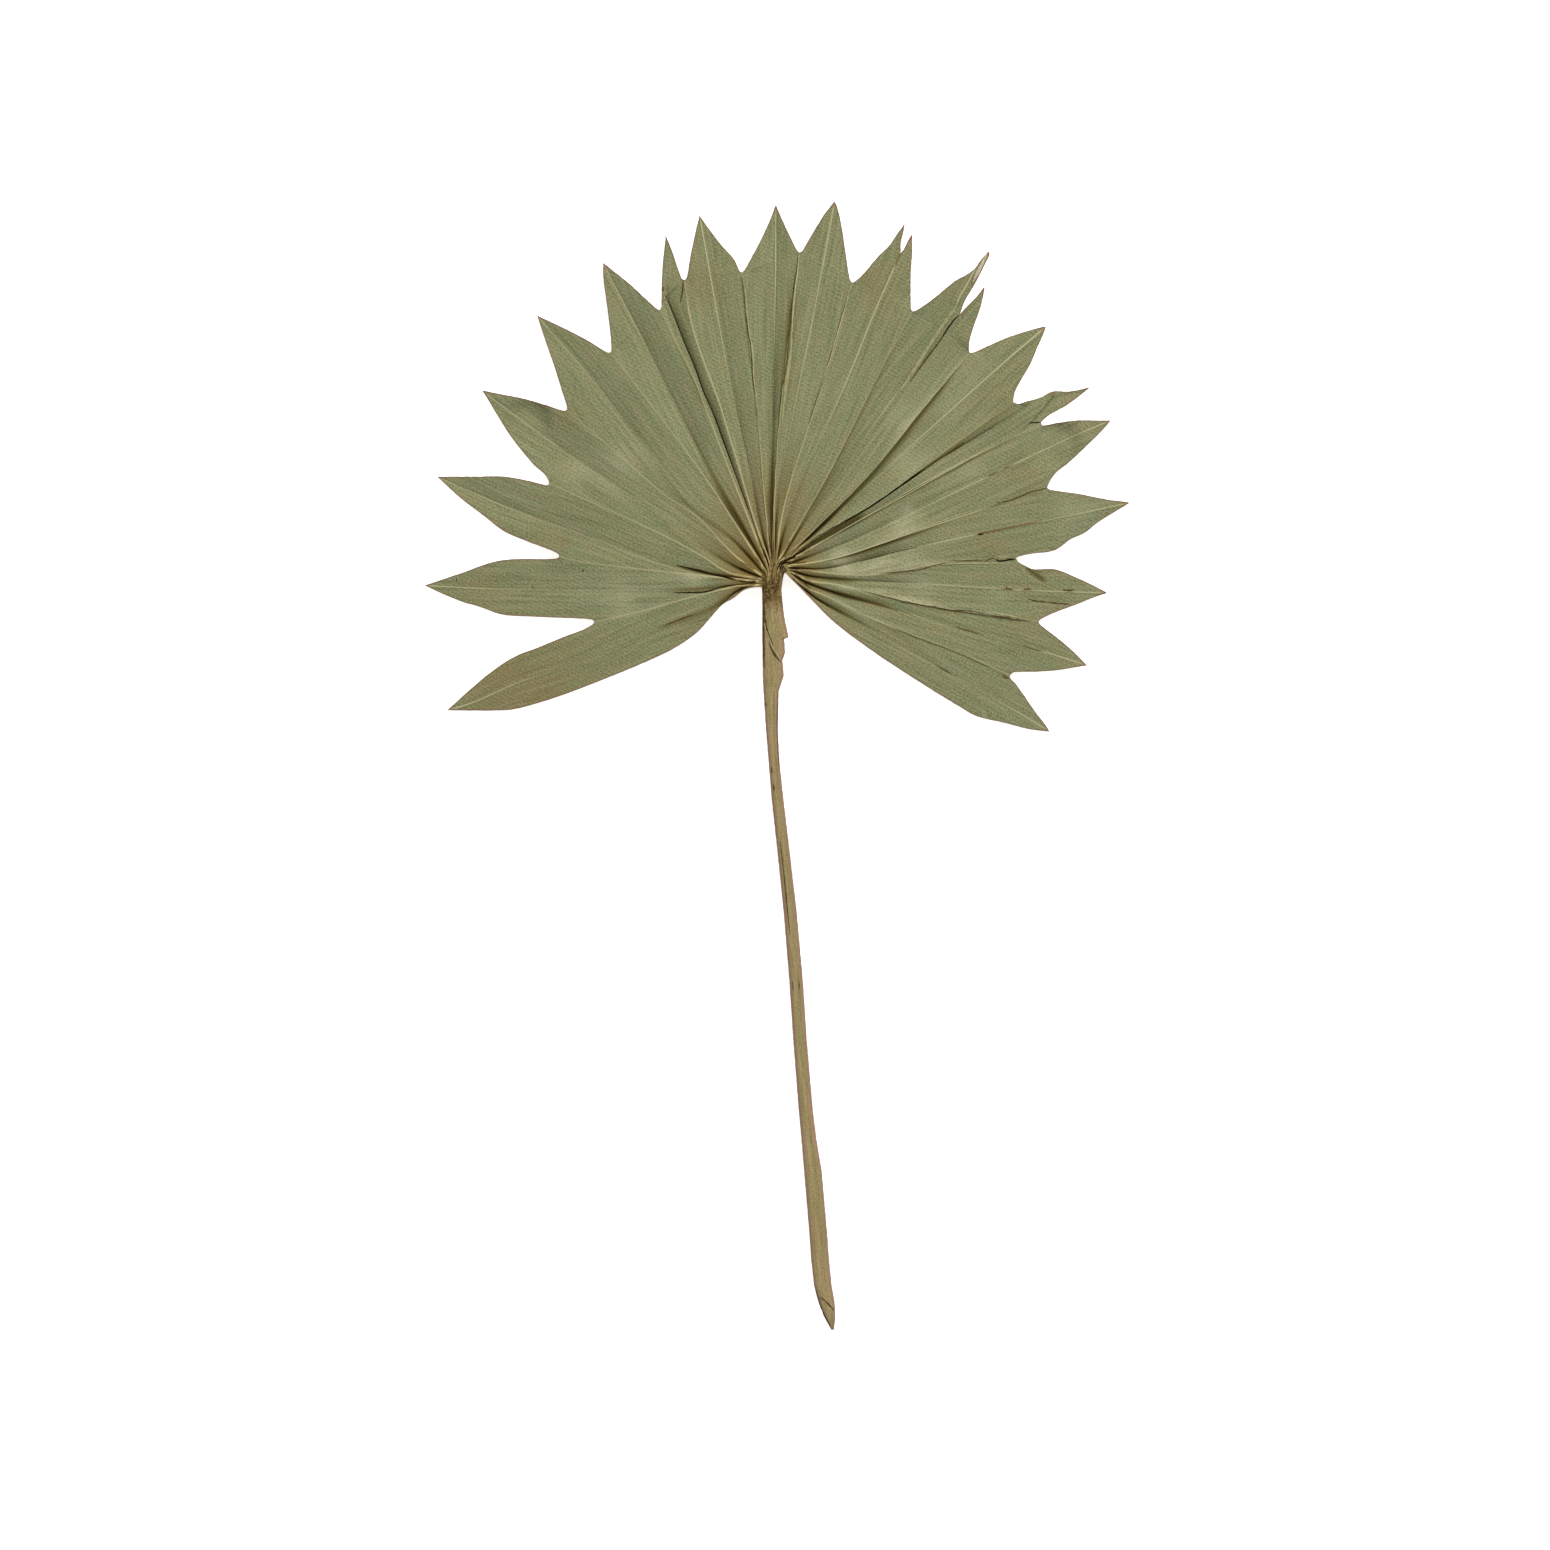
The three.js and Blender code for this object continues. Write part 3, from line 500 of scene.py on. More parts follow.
def part_edge(number, side, line):
    """How far a segment's edge moves where suture `number` has parted, as x, y and z for each inner row."""
    parting = PARTINGS[number]
    out = hub_distance(line)
    open_share = smooth((out - parting["begin"]) / OPENING_LENGTH)
    open_share = open_share * smooth((parting["end"] - out) / CLOSING_LENGTH)
    if side != parting["over"]:
        return np.column_stack([np.zeros((len(line), 2)), -UNDER_DROP * parting["rise"] * open_share])
    rag = np.array([rough(d / PARTING_RAG_LENGTH, PARTING_RAG_SEED * number, 0) for d in out])
    reach = parting["overlap"] * open_share * (EVEN_OVERLAP + UNEVEN_OVERLAP * rag)
    direction = left_of(line) if side == "right" else -left_of(line)
    rise = parting["rise"] * open_share * (EVEN_RISE + UNEVEN_RISE * rag)
    return np.column_stack([direction * reach[:, None], rise])


print("parted sutures:", sorted(PARTINGS))

# %% [markdown]
# ## The sheet of the blade
#
# The blade is laid out half a segment at a time, as a grid from the ridge to the valley. Points that meet
# are shared, so the light runs smoothly over the folds. Each face corner also keeps measured marks, all in
# millimetres or as strengths from 0 to 1, which the leaf's finish reads later: its place in the segment, how
# far it is from the edge, the crest and the midrib, how strong those lines are there, the painted shade of
# its folds, and stains, which below 0 are paler patches and painted light. Marks on corners rather than
# points let two segments that share a suture keep their own patterns.

# %% Stains of the dry leaf, and paler patches that are partly painted light
STAINS = [  # x, y, radius, strength
    (-104, 39.8, 3, 0.9), (-94, 30, 7, 0.6), (-84.5, 89.4, 3.4, 0.8), (-94, 92, 8, 0.5), (-60, 48, 22, 0.15),
    (-98, 34, 30, 0.6), (-114, 27, 16, 0.4), (-84, 139, 5, 0.4), (3, 160, 6, 0.3), (7, 150, 8, 0.4),
    (-14, 92, 10, 0.5), (-3, 103, 16, 0.6), (88, 146, 9, 0.5), (-118, 70, 12, 0.4), (-80, 136, 12, 0.25),
    (-62, 146, 10, 0.1), (40, 193, 14, 0.6), (47, 172, 9, 0.3), (96, 160, 9, 0.4), (118, 134, 14, 0.5),
    (100, 113, 12, 0.5), (70, 104, 14, 0.35), (110, 63, 14, 0.4), (86, 86, 8, 0.5), (95, 54, 10, 0.3),
    (75, 195, 8, 0.4), (14, 205, 8, 0.2), (-30, 190, 12, 0.6), (60, 50, 20, 0.3),
]
# paler patches: painted light where a flank looks lit, some of them bleached tissue
PALE_PATCHES = [  # the same, for paler patches
    (-32, 74, 8, 0.9), (-46, 70, 7, 0.6), (-61, 69, 10, 0.6), (-78, 67, 9, 0.35), (-62, 121, 10, 0.5),
    (-80, 118, 9, 0.45), (-66, 152, 10, 0.35), (-45, 158, 8, 0.2), (78, 156, 10, 0.4), (66, 146, 9, 0.3),
    (22, 89, 7, 0.5), (42, 82, 5, 0.5), (36, 79, 5, 0.7), (36, 95, 8, 0.5), (50, 97, 6, 0.8),
    (53, 102, 2.5, 0.6), (58, 99.6, 2.5, 0.4), (66, 112, 9, 0.5), (78, 118, 8, 0.5), (50, 122, 10, 0.4),
    (108, 135, 9, 0.8), (116, 104, 12, 0.4), (50, 138, 8, 0.5), (52, 85, 7, 0.5), (44, 76, 8, 0.5),
    (58, 70, 8, 0.6), (90, 66, 9, 0.4), (40, 62, 7, 0.4), (24, 68, 6, 0.5), (28, 77, 6, 0.6), (25, 82, 6, 1),
    (-60, 60, 9, 0.2), (-98, 138, 9, 0.3),
]
HUB_STAIN, HUB_STAIN_START, HUB_STAIN_LENGTH = 0.75, 8, 62


def stain_at(points):
    """How tan the tissue is: everywhere near the hub, and in patches further out. Below 0 it is paler:
    partly bleached tissue, partly painted light.
    """
    stain = HUB_STAIN * (1 - smooth((hub_distance(points) - HUB_STAIN_START) / HUB_STAIN_LENGTH))
    for sign, patches in ((1, STAINS), (-1, PALE_PATCHES)):
        for x, y, radius, strength in patches:
            stain = stain + sign * strength * np.exp(-(distance(points, (x, y)) / radius)**2)
    return np.clip(stain, -1, 1)


print("stains:", len(STAINS), "and bleached patches:", len(PALE_PATCHES))

# %% Small unevenness of a sheet that dried
WRINKLE = 0.11
WRINKLE_WIDTH, WRINKLE_LENGTH, WRINKLE_SEED = 2.4, 42, 3.1
WRINKLE_GROWTH = 30  # mm from the hub over which the wrinkles reach their height
COCKLE = 0.3
COCKLE_SIZE, COCKLE_SEED = 26, 5
COCKLE_START, COCKLE_GROWTH = 30, 60  # mm from the hub
VEIN_HEIGHT = 0.12
VEIN_RADIUS = 0.36
BLADE_BOTTOM = 0.5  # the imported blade's underside is this far below its middle
CLEARANCE = 0.3  # the sheet stays this far above the surface, apart from the low spots
LOW_SPOTS = [(-100, 136.5), (112, 128.5)]
SPOT_INNER, SPOT_OUTER = 5, 12  # flat as far as the first, and free from the second on


def wrinkles(across, along, number, share):
    """Long shallow furrows along the veins, none on the crest or the midrib."""
    rows = [[rough(a / WRINKLE_WIDTH, b / WRINKLE_LENGTH, WRINKLE_SEED * number)
             for a, b in zip(*pair)] for pair in zip(across, along)]
    return WRINKLE * np.array(rows) * 4 * share * (1 - share) * smooth(along / WRINKLE_GROWTH)


def settle(xy, z):
    """Heights above the surface, with the two low spots that carry the blade flat on it."""
    cockle = [[rough(x / COCKLE_SIZE, y / COCKLE_SIZE, COCKLE_SEED) for x, y in row] for row in xy]
    cockle = COCKLE * np.array(cockle) * smooth((hub_distance(xy) - COCKLE_START) / COCKLE_GROWTH)
    z = np.maximum(z + cockle, BLADE_BOTTOM + CLEARANCE)
    for spot in LOW_SPOTS:
        low = smooth((SPOT_OUTER - distance(xy, spot)) / (SPOT_OUTER - SPOT_INNER))
        z = z * (1 - low) + BLADE_BOTTOM * low
    return z - BLADE_BOTTOM


print("height of wrinkles, cockles and midribs, mm:", WRINKLE, COCKLE, VEIN_HEIGHT)

# %% The grid builder
MARKS = {  # attributes of the sheet and the three marks in each
    "leaf_place": ("across", "along", "number"),
    "leaf_edges": ("edge", "ridge", "rib"),
    "leaf_tones": ("rib_tone", "crack_tone", "ridge_tone"),
    # fold is painted shade from the folds, sutures and dents; tan is stains, and below 0 paler patches and
    # painted light
    "leaf_stains_shade_and_light": ("fold", "tip", "tan"),
}
SAME_POINT = 3  # decimals of a mm to which points have to agree
blade_points, blade_faces, blade_marks, point_numbers = [], [], [], {}


def add_grid(points, marks):
    """Adds a grid of rows by columns whose outer side is up, with its marks. Points that meet are shared."""
    marks = np.stack([marks[name] for names in MARKS.values() for name in names], axis=-1)
    rows, cols = points.shape[:2]
    numbers = np.empty((rows, cols), int)
    for r in range(rows):
        for c in range(cols):
            key = tuple(np.round(points[r, c], SAME_POINT))
            if key not in point_numbers:
                point_numbers[key] = len(blade_points)
                blade_points.append([v * MM for v in points[r, c]])
            numbers[r, c] = point_numbers[key]
    for r in range(rows - 1):
        for c in range(cols - 1):
            corners = {}
            for place in ((r, c), (r, c + 1), (r + 1, c + 1), (r + 1, c)):
                corners.setdefault(int(numbers[place]), place)
            if len(corners) > 2:
                blade_faces.append(list(corners))
                blade_marks.extend(marks[place] for place in corners.values())


print("marks at each corner:", sum(len(names) for names in MARKS.values()))

# %% Edges of every half segment, with their heights
OUTER_EASE_ROWS = 9  # rows past the notch over which an edge goes over to its own height
SLIT_EASE_ROWS = 8  # rows past the bottom of a slit over which the valley flattens out
outer_ease = smooth((np.arange(OUTER_ROWS) + 1) / OUTER_EASE_ROWS)


def suture_heights(number):
    """Crest heights of the suture after segment `number`, the same for both of its sides."""
    one, two = segments[number - 1:number + 1]
    line = sutures[number - 1]
    reach, lift = (one["reach"] + two["reach"]) / 2, (one["lift"] + two["lift"]) / 2
    widths = one["widths"][1][:INNER_ROWS], two["widths"][0][:INNER_ROWS]
    return level_of(line, reach, lift) + depth_of(line, reach, [number, number + 1], *widths)


def edge_heights(segment, number, line, width, shared):
    """Heights of a whole edge: its suture's crest as far as the notch, then the segment's own edge."""
    level = level_of(line, segment["reach"], segment["lift"])
    depth = depth_of(line, segment["reach"], [number], width)
    if shared is None:
        return level + depth
    kept = 1 + (OUTER_EDGE_FOLD - 1) * outer_ease
    outer = level[INNER_ROWS:] + kept * depth[INNER_ROWS:]
    step = shared[-1] - (level + depth)[INNER_ROWS - 1]
    return np.concatenate([shared, outer + step * (1 - outer_ease)])


crest_heights = [suture_heights(number) for number in range(1, len(segments))]
for i, s in enumerate(segments):
    before = crest_heights[i - 1] if i else None
    after = crest_heights[i] if i + 1 < len(segments) else None
    s["left_z"] = edge_heights(s, i + 1, s["left_line"], s["widths"][0], before)
    s["right_z"] = edge_heights(s, i + 1, s["right_line"], s["widths"][1], after)
    valley = s["mid_level"] - s["mid_depth"]
    if "slit" in s:
        first = INNER_ROWS + closed_rows(s["slit"]["at"])
        opening = smooth((np.arange(len(valley)) - first) / SLIT_EASE_ROWS)
        valley = valley + s["mid_depth"] * opening
    s["mid_z"] = valley
print("crest of the middle suture, mm:", [round(float(z), 1) for z in crest_heights[8][::13]])

# %% Painted shade in the folds, and painted light beside some crests
# Painted shade along a midrib, deep in its fold, and near the hub over brown tissue: distance from the hub,
# strength, then how many mm it reaches to the left and to the right.
DEEPEST = [(4, 1, 1.1, 1.1), (12, 1, 1.5, 1.5)]  # near the hub, the same for all
POCKETS = {  # further out, for each segment
    1: [(20, 0.6, 1.4, 1), (30, 0.4, 4, 0.6), (40, 0.5, 2.4, 0.5), (47, 0.4, 1.4, 0.5), (54, 0, 1, 1)],
    2: [(20, 0.7, 1.6, 0.8), (30, 0.5, 3, 0.4), (36, 0.35, 2.4, 0.4), (42, 0, 2, 1)],
    3: [(20, 0.8, 1.2, 1.6), (30, 0.6, 1, 3.2), (36, 0.3, 1, 2.4), (44, 0, 1, 1)],
    4: [(20, 0.6, 1.6, 1), (30, 0.35, 3, 1), (40, 0.1, 2, 1), (46, 0, 1, 1)],
    5: [(20, 0.6, 1.6, 1.1), (30, 0.35, 2, 1.4), (45, 0.1, 3, 0.6), (58, 0, 2, 1)],
    6: [(20, 0.9, 3, 1.6), (30, 0.75, 5.4, 2.2), (45, 0.5, 3.2, 1.6), (60, 0.35, 1.6, 1.2), (74, 0, 1, 1)],
    7: [(20, 0.6, 0.5, 1.2), (40, 0.4, 0.3, 2), (60, 0.4, 0.3, 2.4), (100, 0.38, 0.3, 3),
        (114, 0.35, 0.5, 3.4), (118, 0.2, 1, 3.4), (122, 0, 1, 3)],
    8: [(20, 0.6, 1, 1.2), (30, 0.3, 1, 2), (40, 0.1, 0.6, 2), (50, 0, 1, 1)],
    9: [(20, 0.85, 2.4, 2.4), (30, 0.7, 4.4, 4), (45, 0.5, 2.2, 3.6), (56, 0.2, 0.8, 4), (70, 0, 0.5, 3)],
    10: [(20, 0.8, 1.2, 1.8), (30, 0.3, 0.8, 2.4), (38, 0.05, 0.5, 2), (44, 0, 1, 1)],
    11: [(20, 0.6, 1.4, 1.2), (28, 0, 1, 1)],
    12: [(20, 0.8, 2, 1), (28, 0.35, 3, 0.6), (44, 0.15, 3, 0.6), (60, 0, 1, 1)],
    13: [(22, 1, 2.8, 1.6), (32, 0.85, 3.4, 1.6), (40, 0.5, 3, 1), (48, 0.25, 2, 0.8), (58, 0, 1, 1)],
    14: [(20, 0.6, 0.8, 1), (30, 0.6, 1.4, 1), (40, 0, 1, 1)],
    15: [(14, 1, 1.6, 1), (20, 0.5, 1, 0.8), (28, 0, 1, 0.6)],
    16: [(20, 0.8, 1.4, 0.8), (30, 0.45, 2.4, 0.6), (44, 0.35, 4, 0.4), (54, 0.05, 2, 0.4), (60, 0, 1, 1)],
    17: [(20, 0.8, 1.6, 1.6), (30, 0.6, 2.6, 3), (36, 0.3, 2, 2), (44, 0, 1, 1)],
    18: [(20, 1, 1.4, 1.4), (30, 1, 2.2, 2), (38, 0.8, 3, 1.2), (46, 0.55, 4, 0.9), (56, 0, 1, 1)],
    19: [(20, 0.8, 2, 1.2), (30, 0.65, 4, 1.6), (40, 0.3, 4, 1), (50, 0.05, 2, 1), (58, 0, 1, 1)],
}
# Painted shade on the side of a suture where a raised or lapped edge would shade the next segment; below 0
# it is painted light, where a crest catches the lamp.
SHADES = {  # beside a suture, on one side: distance from the hub, strength and width. Below 0 is paler
    (1, "left"): [(16, -0.2, 2), (30, -0.4, 3), (60, -0.3, 3), (80, 0, 3)],
    (1, "right"): [(20, 0, 2), (30, -0.4, 2), (60, -0.2, 3), (90, 0, 3)],
    (2, "left"): [(14, -0.2, 2), (24, -0.5, 4), (30, -0.6, 5), (45, -0.3, 5), (60, 0, 3)],
    (2, "right"): [(90, 0, 1), (100, 0.2, 2.4), (112, 0.1, 1.5)],
    (13, "left"): [(50, 0, 2), (64, -0.2, 5), (80, -0.3, 5), (96, 0, 3)],
    (14, "left"): [(50, 0, 1), (70, -0.4, 2), (100, -0.4, 2), (110, 0, 1)],
    (15, "left"): [(30, -0.2, 2), (45, -0.4, 4), (64, -0.4, 4), (90, -0.3, 2), (105, 0, 1)],
    (16, "left"): [(14, 0, 1), (30, -0.3, 3), (46, -0.4, 4), (60, -0.9, 4), (74, -0.5, 3), (96, -0.3, 2)],
    (17, "left"): [(20, 0, 1), (34, -0.4, 3), (46, -0.7, 4), (60, -0.8, 3), (80, -0.4, 2.2), (100, -0.4, 2)],
    (18, "left"): [(20, 0, 1), (30, -0.7, 3), (45, -0.6, 3), (60, -0.6, 2.4), (100, -0.4, 1.6), (120, 0, 1)],
    (4, "right"): [(28, 0, 1), (44, 0.2, 4), (60, 0.15, 4), (76, 0, 2)],
    (5, "left"): [(40, 0, 1), (60, 0.1, 1), (90, 0.15, 1.2), (118, 0.1, 1)],
    (5, "right"): [(14, 0.1, 1), (30, 0.15, 3), (44, 0.15, 3), (54, 0, 2)],
    (6, "left"): [(60, 0.1, 0.8), (76, 0.5, 1.6), (86, 0.5, 1.6), (104, 0.2, 1.4), (124, 0.1, 1)],
    (8, "left"): [(12, 0.2, 0.6), (28, 0.2, 2), (45, 0.25, 3), (60, 0.15, 2.4), (80, 0.1, 1),
                  (118, 0.3, 0.7)],
    (9, "left"): [(20, 0.1, 1.5), (45, 0.25, 3), (80, 0.45, 4.4), (104, 0.5, 4.6), (130, 0.1, 1.5)],
    (9, "right"): [(40, 0, 2), (60, 0.15, 4), (90, 0.4, 6), (110, 0.4, 7), (126, 0, 2)],
    (10, "left"): [(16, 0.2, 1), (30, 0.35, 4), (45, 0.25, 4.4), (60, 0.15, 4), (80, 0.05, 3), (96, 0, 1)],
    (11, "right"): [(10, 0.3, 1.5), (30, 0.35, 2.4), (80, 0.4, 3.4), (110, 0.3, 2.4), (122, 0, 1)],
    (12, "left"): [(16, 0.3, 1), (30, 0.6, 1.2), (45, 0.4, 1.4), (62, 0.2, 1.2), (72, 0, 1), (80, -0.5, 2),
                   (104, -0.5, 2), (116, -0.2, 1.5)],
    (12, "right"): [(8, 1, 2), (30, 1, 3), (45, 0.6, 3.6), (60, 0.6, 4), (80, 0.7, 4.4), (100, 0.65, 4),
                    (116, 0.2, 2)],
    (13, "right"): [(20, 0.3, 1.4), (30, 0.4, 1.8), (60, 0.5, 1.6), (70, 0.5, 2.4), (84, 0.45, 3.6),
                    (100, 0.4, 4.4), (116, 0.3, 4), (128, 0.1, 2)],
    (14, "right"): [(20, 0.3, 1), (36, 0.75, 2.2), (60, 0.8, 2.4), (84, 0.8, 2.2), (112, 0.4, 1.5)],
    (15, "right"): [(22, 0.5, 1), (34, 0.9, 2.2), (46, 0.9, 2.8), (58, 0.75, 3), (70, 0.5, 2.6),
                    (82, 0.25, 2), (96, 0.3, 1.4), (106, 0.1, 1)],
    (16, "right"): [(30, 0, 1), (46, 0.3, 2.4), (62, 0.3, 1.6), (84, 0.15, 1)],
    (17, "right"): [(18, 0, 1), (28, -0.8, 2.6), (42, -0.8, 2), (50, 0, 1), (62, 0.4, 4),
                    (84, 0.35, 1.6), (104, 0.2, 1)],
    (18, "right"): [(36, 0, 2), (48, 0.25, 4), (64, 0.25, 2.4), (100, 0.2, 1.2)],
}


def painted_shade_and_light(i, side, out, from_ridge, from_rib):
    """How much painted shade a half segment has deep in a fold and beside its suture, and how much painted
    light beside its suture, from 0 to 1.
    """
    where, strength, *reaches = zip(*DEEPEST, *POCKETS[i + 1])
    width = np.interp(out, where, reaches[0] if side == "left" else reaches[1])
    dark = np.interp(out, where, strength) * (1 - smooth(from_rib / width))
    shade = SHADES.get((i, "right") if side == "left" else (i + 1, "left"))
    if shade:
        where, strength, width = zip(*shade)
        beside = 1 - smooth(from_ridge / np.interp(out, where, width))
        beside = np.interp(out, where, strength, left=0, right=0) * beside
        return np.maximum(dark, beside), np.maximum(-beside, 0)
    return dark, 0


print("sutures with a shaded side:", len(SHADES))

# %% Dents
DENTS = [  # a short fold pressed into the sheet: its two ends, width and depth
    ((100.2, 78.4), (106.4, 74.2), 2.4, 0.6), ((-46, 190.8), (-39.8, 187.4), 1, 0.3),
    ((80.4, 197), (75.8, 189.5), 0.8, 0.5), ((80.4, 142.2), (71.5, 130.3), 0.7, 0.15),
    ((90, 36), (92.6, 34.8), 0.9, 0.5),
]


def dent_at(points):
    """How deep in a dent points are, from 0 to 1 times the dent's own depth."""
    found = np.zeros(points.shape[:-1])
    for begin, end, width, depth in DENTS:
        along = np.subtract(end, begin)
        share = np.clip(((points[..., :2] - begin) @ along) / (along @ along), 0, 1)
        away = np.linalg.norm(points[..., :2] - begin - share[..., None] * along, axis=-1)
        found = np.maximum(found, depth * (1 - smooth(away / width)))
    return found


print("dents:", len(DENTS))

# %% The marks of half a segment
FOLDED = 13  # segment 14 in the list, whose right half has folded over
WEDGE_SHADE = 0.5  # of its left half, which lies in the shade of that fold
WEDGE_START, WEDGE_GROWTH, WEDGE_END, WEDGE_FADE = 24, 14, 50, 40  # mm from the hub, and over how many
FAR = 6  # distances from an edge are kept up to here
PATTERN_SHIFT = 50  # sets the pattern of each segment apart from the next one's


def half_marks(i, s, side, xy, width, share):
    """The marks of half a segment, for each point of its grid."""
    out = hub_distance(xy)
    from_ridge = width[:, None] * share
    from_rib = width[:, None] * (1 - share)
    across = from_rib * (-1 if side == "left" else 1)
    row = np.arange(len(width))[:, None]
    outermost = (i == 0 and side == "left") or (i == len(segments) - 1 and side == "right")
    free = (row >= INNER_ROWS) | outermost
    edge = np.minimum(np.where(free, from_ridge, FAR), FAR)
    for notch in notches_beside(i):
        edge = np.minimum(edge, distance(xy, notch))
    if "slit" in s:
        split = row >= INNER_ROWS + closed_rows(s["slit"]["at"])
        edge = np.minimum(edge, np.where(split, from_rib, FAR))
    aside = np.interp(out, *zip(*s.get("rib_aside", [(0, 0)])))
    rib = np.interp(out, *zip(*s.get("rib", FAINT_RIB)))
    crack = np.interp(out, *zip(*s.get("crack", [(0, 0)])))
    around = segments[i - 1] if side == "left" and i else s
    ridge = np.interp(out, *zip(*around.get("ridge", CREST))) * np.where(free, 0, 1)
    # the first value is painted shade, the second painted light
    fold, pale = painted_shade_and_light(i, side, out, from_ridge, from_rib)
    if i == FOLDED and side == "left":
        wedge = smooth((out - WEDGE_START) / WEDGE_GROWTH) * (1 - smooth((out - WEDGE_END) / WEDGE_FADE))
        fold = np.maximum(fold, WEDGE_SHADE * wedge)
    tip = s["slit"]["tip"] if "slit" in s and side == "right" else s["tip"]
    # fold carries the painted shade, also darkening the dents, which are pressed into the sheet as well; tan
    # carries the stains, with the painted light taken off them
    return dict(across=across, along=out,
                number=np.full_like(out, PATTERN_SHIFT * (i + (0.5 if side == "right" else 0))),
                edge=edge, ridge=from_ridge, rib=across - aside,
                rib_tone=rib, crack_tone=crack, ridge_tone=ridge,
                fold=np.maximum(fold, dent_at(xy)), tip=distance(xy, tip),
                tan=np.clip(stain_at(xy) - pale, -1, 1))


print("segment with a folded half:", FOLDED + 1)

# %% Lay out the halves of all segments
PARTED_SHARE = 0.3  # of a half segment that moves with its parted edge
DENT_ROOM = 1.5  # a dent gets shallower where the sheet lies lower than this


def add_half(i, s, side):
    """Half a segment, from its ridge to its valley."""
    ridge, mid, width = ((s["left_line"], s["mid_left"], s["widths"][0]) if side == "left"
                         else (s["right_line"], s["mid_right"], s["widths"][1]))
    ridge_z = s["left_z"] if side == "left" else s["right_z"]
    number = i if side == "left" else i + 1
    moved = np.zeros((len(ridge), 3))
    if number in PARTINGS:
        side_of_suture = "right" if side == "left" else "left"
        moved[:INNER_ROWS] = part_edge(number, side_of_suture, ridge[:INNER_ROWS])
    share = np.tile(columns, (len(ridge), 1))
    pull = (1 - smooth(share / PARTED_SHARE))[..., None]
    xy = ridge[:, None] + (mid - ridge)[:, None] * columns[None, :, None] + moved[:, None, :2] * pull
    leaning = LEANING.get((i + 1, side))
    fall = flank_fall(width, leaning, 0) if leaning else flank_fall(width, CREST_BEND, VALLEY_BEND)
    z = ridge_z[:, None] + (s["mid_z"] - ridge_z)[:, None] * fall + moved[:, None, 2] * pull[..., 0]
    marks = half_marks(i, s, side, xy, width, share)
    z = z + wrinkles(marks["across"], marks["along"], i, share)
    z = z - dent_at(xy) * smooth((z - BLADE_BOTTOM) / DENT_ROOM)
    z = z + VEIN_HEIGHT * marks["rib_tone"] * np.exp(-(marks["rib"] / VEIN_RADIUS)**2)
    grid = np.dstack([xy, settle(xy, z)])
    if side == "right":
        grid = grid[:, ::-1]
        marks = {name: values[:, ::-1] for name, values in marks.items()}
    add_grid(grid, marks)


for i, s in enumerate(segments):
    for side in ("left", "right"):
        add_half(i, s, side)
print("faces of the sheet:", len(blade_faces))

# %% [markdown]
# ## The half that folded over
#
# The right half of segment 14 has come away from its midrib and lies as a narrow strip over the valley,
# with its end folded square across the tip. A crease in the sheet couldn't lie over the sheet, so the strip
# is a grid of its own. It is still joined along the next suture's crest, and runs from there to a free upper
# edge that stands over the dark wedge behind it.

# %% The folded strip of segment 14
STRIP_UPPER = [(8, 85), (19, 91.7), (30, 98.7), (37.2, 102.8), (45.2, 108.3), (51.6, 112.7),
               (58.8, 117.7), (64, 121.4), (76.4, 129), (89.2, 136.8), (100, 143.8), (110, 149.4)]
STRIP_LOWER = [(8, 84.6), (19, 90), (54.5, 110.5), (76.4, 122.4), (87, 127.9), (96.8, 133.6), (101.5, 137.5),
               (106.5, 143), (111, 148.6)]
STRIP_RISE = 0.55  # of the upper edge, as a share of the fold's depth
STRIP_LIFT = [(0, 0), (30, 0.7), (60, 0.8), (80, 0.1), (150, 0.1)]  # distance from the hub and mm
STRIP_SINK = 0.2  # the lower edge starts this far below the crest that it is joined to
STRIP_END, STRIP_END_LENGTH, STRIP_END_LIFT = 0.8, 0.14, 1.1  # shares of its length, then mm
STRIP_CROWN, CROWNED_WIDTH = 0.16, 4
STRIP_ROWS, STRIP_COLUMNS = 80, 8

strip_rows = np.linspace(0, 1, STRIP_ROWS)
upper = run_of(STRIP_UPPER, strip_rows)
lower = run_of(STRIP_LOWER, strip_rows)
strip_width = width_between(upper, lower)
fourteen = segments[FOLDED]
strip_level = level_of(lower, fourteen["reach"], fourteen["lift"])
strip_depth = depth_of(lower, fourteen["reach"], [FOLDED + 1], 2 * strip_width)
end_lift = STRIP_END_LIFT * smooth((strip_rows - STRIP_END) / STRIP_END_LENGTH)
crest_below = np.interp(hub_distance(lower), hub_distance(sutures[FOLDED]), crest_heights[FOLDED])
lower_z = crest_below - STRIP_SINK + end_lift
upper_z = strip_level + STRIP_RISE * strip_depth + np.interp(hub_distance(upper), *zip(*STRIP_LIFT))
strip_share = np.linspace(0, 1, STRIP_COLUMNS)
strip_xy = upper[:, None] + (lower - upper)[:, None] * strip_share[None, :, None]
crown = STRIP_CROWN * np.minimum(1, strip_width / CROWNED_WIDTH)[:, None]
crown = crown * 4 * (strip_share * (1 - strip_share))[None]
strip_z = upper_z[:, None] + (lower_z - upper_z)[:, None] * strip_share[None] + crown
print("strip: widest", round(float(strip_width.max()), 1), "mm")

